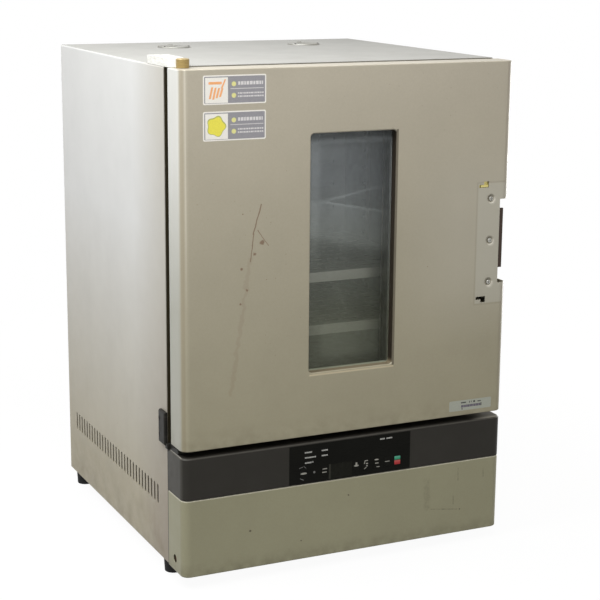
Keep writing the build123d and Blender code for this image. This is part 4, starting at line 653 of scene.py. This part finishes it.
def band_finish():
    """Dark brown-grey enamel of the control band: painted light on its left face, dust and a painted
    highlight on its bevel, a painted highlight along its upper left edge, and a painted reflection on
    its top near the right end.
    """
    paint = Finish("band_enamel")
    tone = mottled(paint, srgb(50, 48, 44), 70.0, 0.08)
    # Painted light: the left face is lighter, as if lit from the left.
    lit_left_face = paint.ramp(paint.x, *BAND_LEFT_FACE)
    tone = paint.tint(tone, lit_left_face, 0.8, srgb(74, 72, 67))
    # Dust on the bevel, with a painted highlight where it faces up.
    bevel = paint.inside(paint.z, *BAND_BEVEL, 0.3)
    dust_and_highlight = paint.ramp(paint.noise(12.0, 4.0), 0.2, 0.6, 0.6, 1.0)
    dust_and_highlight = paint.times(bevel, dust_and_highlight)
    tone = paint.tint(tone, dust_and_highlight, 0.25, srgb(112, 109, 102))
    # Painted reflection on the top near the right end.
    top = paint.times(paint.ramp(paint.z, *BAND_TOP), paint.ramp(paint.x, 540.0, 575.0))
    tone = paint.tint(tone, top, 0.8, srgb(150, 146, 134))
    # Painted highlight along the upper edge of the left face.
    upper_left_highlight = paint.times(lit_left_face, paint.ramp(paint.z, 199.4, 200.2))
    tone = paint.mix(upper_left_highlight, tone, srgb(196, 192, 182))
    marks = paint.specks(15.0, 0.6, 0.2)
    tone = paint.tint(tone, marks, 0.3, srgb(120, 112, 98))
    joint = paint.ramp(paint.y, PANEL_BEFORE, PANEL_BEHIND, 0.0, 0.9)
    tone = paint.mix(joint, tone, srgb(34, 30, 24))
    paint.set(base_color=tone, specular_ior_level=0.12)
    paint.set(roughness=paint.ramp(paint.noise(25.0), *NOISE_RANGE, 0.42, 0.54))
    paint.bump(paint.noise(1.6, 2.0), 0.02)
    return paint.material


# Finishes by the material slot of the record.
finishes = {
    "case_paint": case_finish(),
    # The front frame is a dark enamel; it shows only in the gap round the door.
    "frame_paint": painted("dark_frame_enamel", srgb(58, 52, 36), 0.55, amount=0.15, dust=0.1, specular=0.2),
    "base_zinc": metal("galvanised_sheet", srgb(138, 141, 142), 0.45, (4.0, 4.0, 4.0), wear=0.2),
    "stainless": metal(
        "chamber_stainless", srgb(120, 120, 112), 0.38, BRUSHED_ACROSS, stain=srgb(84, 78, 62)),
    "mineral_wool": wool_finish(),
    "steel_shaft": metal("ground_steel", srgb(176, 176, 174), 0.25, TURNED),
    "motor_paint": painted("motor_enamel", srgb(52, 53, 55), 0.5, 0.05, dust=0.2),
    "heater_sheath": metal(
        "scaled_sheath", srgb(96, 84, 74), 0.5, (6.0, 1.0, 6.0), stain=srgb(58, 46, 40)),
    "port_metal": metal(
        "port_aluminium", srgb(170, 169, 163), 0.45, (12.0, 12.0, 1.0), stain=srgb(136, 132, 120)),
    "dark_screws": metal("blackened_screws", srgb(58, 56, 54), 0.4, GRAINLESS),
    "bracket_plate": bracket_finish(),
    "brass": brass_finish(),
    "black_paint": painted(
        "hinge_enamel", srgb(40, 39, 36), 0.45, 0.05, dust=0.1, amount=0.3, specular=0.1),
    "door_paint": door_finish(),
    "panel_paint": panel_finish(),
    "door_inner_steel": metal(
        "inner_stainless", srgb(176, 176, 170), 0.36, BRUSHED_ACROSS, stain=srgb(140, 124, 92)),
    "glass": glass_finish(),
    "silicone": moulded("silicone_seal", srgb(84, 80, 72), 0.62, 0.05, amount=0.12),
    "bright_screws": metal("zinc_screws", srgb(172, 171, 164), 0.2, GRAINLESS, stain=srgb(96, 92, 80)),
    "yellow_zinc": metal(
        "yellow_passivate", srgb(214, 204, 138), 0.42, (1.0, 1.0, 12.0), stain=srgb(190, 172, 104)),
    "latch_dark": painted("latch_enamel", srgb(58, 44, 34), 0.5, 0.03, amount=0.16, specular=0.35),
    "band_paint": band_finish(),
    "fascia": fascia_finish(),
    "display_filter": display_finish(),
    "circuit_board": board_finish(),
    "grey_plastic": moulded("terminal_plastic", srgb(158, 158, 152)),
    "breaker_black": moulded("breaker_plastic", srgb(40, 40, 40), 0.48, 0.03),
    "lever_plastic": moulded("lever_plastic", srgb(56, 56, 57), 0.4, 0.02),
    "foot_rubber": moulded("foot_rubber", srgb(28, 28, 28), 0.75, 0.1, specular=0.25),
}
finishes["key_grey"] = finishes["key_power"] = key_finish()

# Nodes that look different from the others of their slot.
own_finishes = {
    "upper_shelf": shelf_finish(),
    "panel_side_screws": metal(
        "stained_screws", srgb(96, 74, 56), 0.5, GRAINLESS, stain=srgb(66, 48, 34)),
}
own_finishes["lower_shelf"] = own_finishes["upper_shelf"]
for part in frame["record"]["subparts"]:
    for holder in frame["nodes"][part["node"]].material_slots:
        holder.material = own_finishes.get(part["node"], finishes[part["material_slot"]])


# Steps in a quarter turn, waves round a scalloped disc, and the length under which no bar starts.
CORNER_STEPS = 4
SPOT_LOBES = 5
SHORTEST_BAR = 0.6


def rectangle(x, z, radius=0.0):
    """Outline of an upright rectangle, with rounded corners if a radius is given."""
    if not radius:
        return [(x[0], z[0]), (x[1], z[0]), (x[1], z[1]), (x[0], z[1])]
    points = []
    corners = [(x[1] - radius, z[0] + radius), (x[1] - radius, z[1] - radius),
               (x[0] + radius, z[1] - radius), (x[0] + radius, z[0] + radius)]
    for quarter, (cx, cz) in enumerate(corners):
        for step in range(CORNER_STEPS + 1):
            angle = math.radians(-90 + 90 * quarter + 90 / CORNER_STEPS * step)
            points.append((cx + radius * math.cos(angle), cz + radius * math.sin(angle)))
    return points


def disc(x, z, radius, steps, scallop=0.0):
    """Outline of a round spot, or of a scalloped one."""
    points = []
    for i in range(steps):
        angle = 2 * math.pi * i / steps
        reach = radius + scallop * math.cos(SPOT_LOBES * angle)
        points.append((x + reach * math.cos(angle), z + reach * math.sin(angle)))
    return points


def dashes(x, z, height, sizes, gap):
    """A broken line of plain bars from one side to the other."""
    bars, at, i = [], x[0], 0
    while at < x[1] - SHORTEST_BAR:
        end = min(at + sizes[i % len(sizes)], x[1])
        bars.append(rectangle((at, end), (z - height / 2, z + height / 2)))
        at = end + gap
        i += 1
    return bars


class Layers:
    """Thin closed shapes laid on the front of the machine and gathered into one piece."""

    def __init__(self, name, body):
        self.name = name
        self.body = body
        self.vertices = []
        self.faces = []
        self.inks = []
        self.face_inks = []

    def add(self, outline, front, back, colour):
        """One closed shape between two depths."""
        start, count = len(self.vertices), len(outline)
        for depth in (front, back):
            for x, z in outline:
                self.vertices.append(ORIGIN + Vector((x, depth, z)) * MM)
        if colour not in self.inks:
            self.inks.append(colour)
        behind = start + count
        faces = [tuple(range(start, behind)), tuple(range(behind + count - 1, behind - 1, -1))]
        for i in range(count):
            after = (i + 1) % count
            faces.append((start + after, start + i, behind + i, behind + after))
        self.faces += faces
        self.face_inks += [self.inks.index(colour)] * len(faces)

    def build(self):
        """Makes the mesh object and lets it move with its body."""
        mesh = bpy.data.meshes.new(self.name)
        mesh.from_pydata(self.vertices, [], self.faces)
        for colour in self.inks:
            mesh.materials.append(colour)
        mesh.polygons.foreach_set("material_index", self.face_inks)
        mesh.update()
        piece = bpy.data.objects.new(self.name, mesh)
        bpy.context.scene.collection.objects.link(piece)
        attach(piece, self.body)


def ink(name, colour, rough=0.5, fade=0.12):
    """Printing ink, slightly worn."""
    film = Finish(name)
    worn = film.ramp(film.noise(1.4, 4.0, 0.7), 0.35, 0.7)
    film.set(base_color=film.mix(worn, shade(colour, 1 - fade), shade(colour, 1 + fade)))
    film.set(roughness=film.ramp(worn, 0.0, 1.0, rough - 0.05, rough + 0.1), specular_ior_level=0.3)
    film.bump(worn, 0.01)
    return film.material


# Colours of the prints on the band, the tape and the stickers.
WHITE_INK = ink("white_ink", srgb(192, 192, 188))
GREY_INK = ink("grey_ink", srgb(112, 112, 110))
DARK_INK = ink("dark_ink", srgb(74, 73, 72), fade=0.3)
VIOLET_INK = ink("violet_ink", srgb(104, 98, 112), fade=0.3)
LABEL_WHITE = ink("label_white", srgb(244, 241, 234), 0.4, 0.04)
LABEL_FIELD = ink("label_field", srgb(153, 152, 157), 0.4, 0.08)
LABEL_LINE = ink("label_line", srgb(222, 219, 220), 0.4, 0.1)
LABEL_ORANGE = ink("label_orange", srgb(246, 178, 124), 0.4, 0.06)
LABEL_YELLOW = ink("label_yellow", srgb(240, 230, 92), 0.4, 0.06)
LABEL_EDGE = ink("label_edge", srgb(186, 190, 112), 0.4, 0.06)
LABEL_PALE = ink("label_pale", srgb(230, 226, 156), 0.4, 0.06)
TAPE_PALE = ink("tape_pale", srgb(174, 177, 165), 0.45, 0.08)


def front_label(name, x, z, shapes):
    """A plain two-field sticker: a coloured shape on a pale square and ruled lines beside it."""
    label = Layers(name, "door")
    skin = (DOOR_FRONT - 0.10, DOOR_FRONT + 0.02)
    first = (DOOR_FRONT - 0.14, DOOR_FRONT - 0.05)
    second = (DOOR_FRONT - 0.18, DOOR_FRONT - 0.10)
    third = (DOOR_FRONT - 0.22, DOOR_FRONT - 0.14)
    label.add(rectangle(x, z, 2.5), *skin, LABEL_WHITE)
    label.add(rectangle((x[0] + 2.0, x[1] - 2.0), (z[0] + 2.0, z[1] - 2.0), 1.4), *first, LABEL_FIELD)
    square = (x[0] + 3.6, x[0] + 41.4)
    label.add(rectangle(square, (z[0] + 2.6, z[1] - 3.6)), *second, LABEL_WHITE)
    middle = (z[0] + z[1]) / 2
    for outline, colour in shapes((square[0] + square[1]) / 2, middle):
        label.add(outline, *third, colour)
    left, right = x[0] + 45.6, x[1] - 4.4
    for height in (z[1] - 14.0, z[1] - 31.6):
        label.add(disc(x[0] + 51.4, height, 3.8, 16), *second, LABEL_PALE)
    for bar in dashes((left + 13.0, right - 1.0), z[1] - 13.0, 5.4, (3.4, 4.6, 2.8, 4.2, 5.0), 1.1):
        label.add(bar, *second, LABEL_LINE)
    label.add(rectangle((left, right), (z[1] - 21.7, z[1] - 20.7)), *second, LABEL_LINE)
    for height in (z[1] - 28.4, z[1] - 33.3):
        for bar in dashes((left + 12.6, right), height, 2.4, (2.4, 3.4, 1.8, 2.8, 3.8), 0.9):
            label.add(bar, *second, LABEL_LINE)
    label.build()


def slanted_bars(x, z):
    """Plain slanted bars under a long one."""
    shapes = [(rectangle((x - 13.5, x + 8.8), (z + 8.6, z + 12.6), 1.4), LABEL_ORANGE)]
    for i, low in enumerate((-13.5, -14.5, -12.5, -11.0)):
        left = x - 13.0 + i * 5.6
        top = 4.5 - i * 0.8
        bar = [(left, z + low), (left + 3.4, z + low), (left + 7.6, z + top), (left + 4.2, z + top)]
        shapes.append((bar, LABEL_ORANGE))
    last = [(x + 7.0, z + 2.5), (x + 9.6, z + 1.5), (x + 15.6, z + 15.6), (x + 13.6, z + 16.6)]
    shapes.append((last, LABEL_ORANGE))
    return shapes


def scalloped_spot(x, z):
    """A plain scalloped disc with a darker edge."""
    return [(disc(x - 0.6, z, 15.4, 40, 1.6), LABEL_EDGE)]


# The two stickers at the door's upper left corner.
front_label("sticker_upper", (38.6, 144.6), (767.0, 812.2), slanted_bars)
front_label("sticker_lower", (38.4, 144.2), (711.0, 756.6), scalloped_spot)
spot = Layers("sticker_disc", "door")
spot.add(disc(60.3, 733.2, 13.9, 40, 1.4), DOOR_FRONT - 0.26, DOOR_FRONT - 0.18, LABEL_YELLOW)
spot.build()

# The narrow tape at the door's lower right corner, with plain marks.
tape = Layers("inventory_tape", "door")
tape.add(rectangle((493.0, 577.0), (220.8, 239.2), 2.0), DOOR_FRONT - 0.10, DOOR_FRONT + 0.02, TAPE_PALE)
on_tape = (DOOR_FRONT - 0.15, DOOR_FRONT - 0.05)
tape_marks = [
    ((516.3, 526.4), (233.8, 236.0)),
    ((532.8, 534.4), (233.4, 236.6)),
    ((536.6, 538.0), (233.8, 236.4)),
    ((541.0, 544.8), (233.4, 236.6)),
    ((549.6, 556.4), (233.6, 235.4)),
    ((555.9, 557.9), (226.0, 231.2)),
]
for sides, heights in tape_marks:
    tape.add(rectangle(sides, heights), *on_tape, DARK_INK)
for bar in dashes((516.8, 555.4), 228.4, 4.4, (4.4, 2.6, 3.6, 5.2), 0.5):
    tape.add(bar, *on_tape, VIOLET_INK)
tape.add(rectangle((517.9, 519.7), (222.4, 225.4)), *on_tape, DARK_INK)
tape.build()

# Plain bars and strokes printed on the control overlay.
prints = Layers("fascia_prints", "oven")
on_film = (OVERLAY_FRONT - 0.06, OVERLAY_FRONT + 0.02)
print_lines = [
    ((217.0, 230.4), 184.2),
    ((217.3, 237.5), 175.2),
    ((217.4, 229.8), 166.2),
    ((231.2, 232.6), 166.6),
    ((248.2, 259.9), 184.2),
    ((248.3, 259.9), 175.2),
    ((358.4, 368.0), 189.8),
    ((370.8, 381.6), 189.8),
]
for sides, height in print_lines:
    for bar in dashes(sides, height, 2.3, (1.8, 1.4, 2.0, 1.6), 0.6):
        prints.add(bar, *on_film, WHITE_INK)
print_marks = [
    [(207.0, 157.6), (213.6, 159.4), (213.6, 160.6), (207.0, 158.8)],
    [(215.0, 160.6), (219.4, 156.4), (219.4, 157.8), (215.0, 161.8)],
    [(208.8, 139.2), (215.0, 136.2), (215.0, 137.6), (208.8, 140.6)],
    disc(234.8, 148.2, 2.0, 16),
]
for mark in print_marks:
    prints.add(mark, *on_film, GREY_INK)
prints.build()


def seen_rays(tree):
    """1 for the rays that show the background: to the camera, in gloss and through glass."""
    rays = tree.nodes.new("ShaderNodeLightPath")
    total = rays.outputs["Is Camera Ray"]
    for name in ("Is Glossy Ray", "Is Transmission Ray"):
        largest = tree.nodes.new("ShaderNodeMath")
        largest.operation = "MAXIMUM"
        tree.links.new(total, largest.inputs[0])
        tree.links.new(rays.outputs[name], largest.inputs[1])
        total = largest.outputs[0]
    return total


# A pale floor, white away from the object, which keeps the object's shadow.
FLOOR_REACH = 40.0
SHADOW_NEAR, SHADOW_FAR = 0.55, 1.6
WHITE_NEAR, WHITE_FAR = 0.95, 1.0

floor_mesh = bpy.data.meshes.new("floor")
corners = [(x * FLOOR_REACH, y * FLOOR_REACH, 0) for x, y in ((-1, -1), (1, -1), (1, 1), (-1, 1))]
floor_mesh.from_pydata(corners, [], [(0, 1, 2, 3)])
floor = bpy.data.objects.new("floor", floor_mesh)
bpy.context.scene.collection.objects.link(floor)
ground = bpy.data.materials.new("studio_floor")
ground.use_nodes = True
nodes, links = ground.node_tree.nodes, ground.node_tree.links
pale = nodes["Principled BSDF"]
pale.inputs["Roughness"].default_value = 0.8
pale.inputs["Specular IOR Level"].default_value = 0.1
white = nodes.new("ShaderNodeEmission")
white.inputs["Color"].default_value = (1.0, 1.0, 1.0, 1.0)
white.inputs["Strength"].default_value = 1.0
where = nodes.new("ShaderNodeTexCoord")
reach = nodes.new("ShaderNodeVectorMath")
reach.operation = "LENGTH"
links.new(where.outputs["Object"], reach.inputs[0])
fade = nodes.new("ShaderNodeMapRange")
for i, number in enumerate((SHADOW_NEAR, SHADOW_FAR, WHITE_NEAR, WHITE_FAR), 1):
    fade.inputs[i].default_value = number
links.new(reach.outputs["Value"], fade.inputs[0])
seen = seen_rays(ground.node_tree)
tone = nodes.new("ShaderNodeMix")
tone.data_type = "RGBA"
tone.inputs[6].default_value = (0.35, 0.35, 0.34, 1.0)
tone.inputs[7].default_value = (0.95, 0.95, 0.94, 1.0)
links.new(seen, tone.inputs[0])
links.new(tone.outputs[2], pale.inputs["Base Color"])
share = nodes.new("ShaderNodeMath")
share.operation = "MULTIPLY"
links.new(seen, share.inputs[0])
links.new(fade.outputs[0], share.inputs[1])
blend = nodes.new("ShaderNodeMixShader")
links.new(share.outputs[0], blend.inputs[0])
links.new(pale.outputs[0], blend.inputs[1])
links.new(white.outputs[0], blend.inputs[2])
links.new(blend.outputs[0], nodes["Material Output"].inputs["Surface"])
floor_mesh.materials.append(ground)

# A soft even light from all round, white where it is seen.
world = bpy.data.worlds.new("studio")
bpy.context.scene.world = world
world.use_nodes = True
nodes, links = world.node_tree.nodes, world.node_tree.links
ambient = nodes["Background"]
ambient.inputs["Color"].default_value = (1.0, 0.99, 0.97, 1.0)
ambient.inputs["Strength"].default_value = 0.25
clear = nodes.new("ShaderNodeBackground")
clear.inputs["Color"].default_value = (1.0, 1.0, 1.0, 1.0)
blend = nodes.new("ShaderNodeMixShader")
links.new(seen_rays(world.node_tree), blend.inputs[0])
links.new(ambient.outputs[0], blend.inputs[1])
links.new(clear.outputs[0], blend.inputs[2])
links.new(blend.outputs[0], nodes["World Output"].inputs["Surface"])


def lamp(name, place, target, size, watts, colour):
    """A square soft lamp that looks at a target."""
    light = bpy.data.lights.new(name, "AREA")
    light.shape = "SQUARE"
    light.size = size
    light.energy = watts
    light.color = colour
    holder = bpy.data.objects.new(name, light)
    holder.location = place
    holder.rotation_mode = "QUATERNION"
    holder.rotation_quaternion = (Vector(target) - Vector(place)).to_track_quat("-Z", "Y")
    bpy.context.scene.collection.objects.link(holder)


WARM_WHITE = (1.0, 0.99, 0.97)
lamp("key_left", place=(-1.2, -0.3, 1.8), target=(-0.3, 0.0, 0.5), size=1.0, watts=32.0,
     colour=(0.96, 0.98, 1.0))
lamp("fill_front", place=(-0.4, -1.55, 2.05), target=(0.0, -0.3, 0.5), size=1.0, watts=25.5,
     colour=(1.0, 0.985, 0.96))
lamp("fill_right", place=(1.9, 0.5, 0.42), target=(0.3, 0.1, 0.42), size=0.78, watts=22.0,
     colour=WARM_WHITE)
lamp("fill_back", place=(0.2, 2.1, 0.42), target=(0.0, 0.3, 0.42), size=0.78, watts=14.0,
     colour=WARM_WHITE)

# The photograph's camera, as a pinhole fitted to the object's corners.
IMAGE_WIDTH = 600.0
FOCAL_PIXELS = 1584.01
CAMERA_PLACE = (-866.23, -2333.46, 1018.16)
yaw, pitch, roll = 0.4422, 0.2246, 0.0084
forward = Vector((math.sin(yaw) * math.cos(pitch), math.cos(yaw) * math.cos(pitch), -math.sin(pitch)))
level = Vector((math.cos(yaw), -math.sin(yaw), 0.0))
upright = level.cross(forward)
right = math.cos(roll) * level + math.sin(roll) * upright
up = -math.sin(roll) * level + math.cos(roll) * upright
view = bpy.data.cameras.new("view")
view.sensor_width = 36.0
view.lens = FOCAL_PIXELS / IMAGE_WIDTH * view.sensor_width
view.clip_start, view.clip_end = 0.05, 100.0
camera = bpy.data.objects.new("camera", view)
place = ORIGIN + Vector(CAMERA_PLACE) * MM
camera.matrix_world = Matrix.Translation(place) @ Matrix((right, up, -forward)).transposed().to_4x4()
bpy.context.scene.collection.objects.link(camera)
bpy.context.scene.camera = camera
bpy.context.scene.view_settings.view_transform = "Standard"
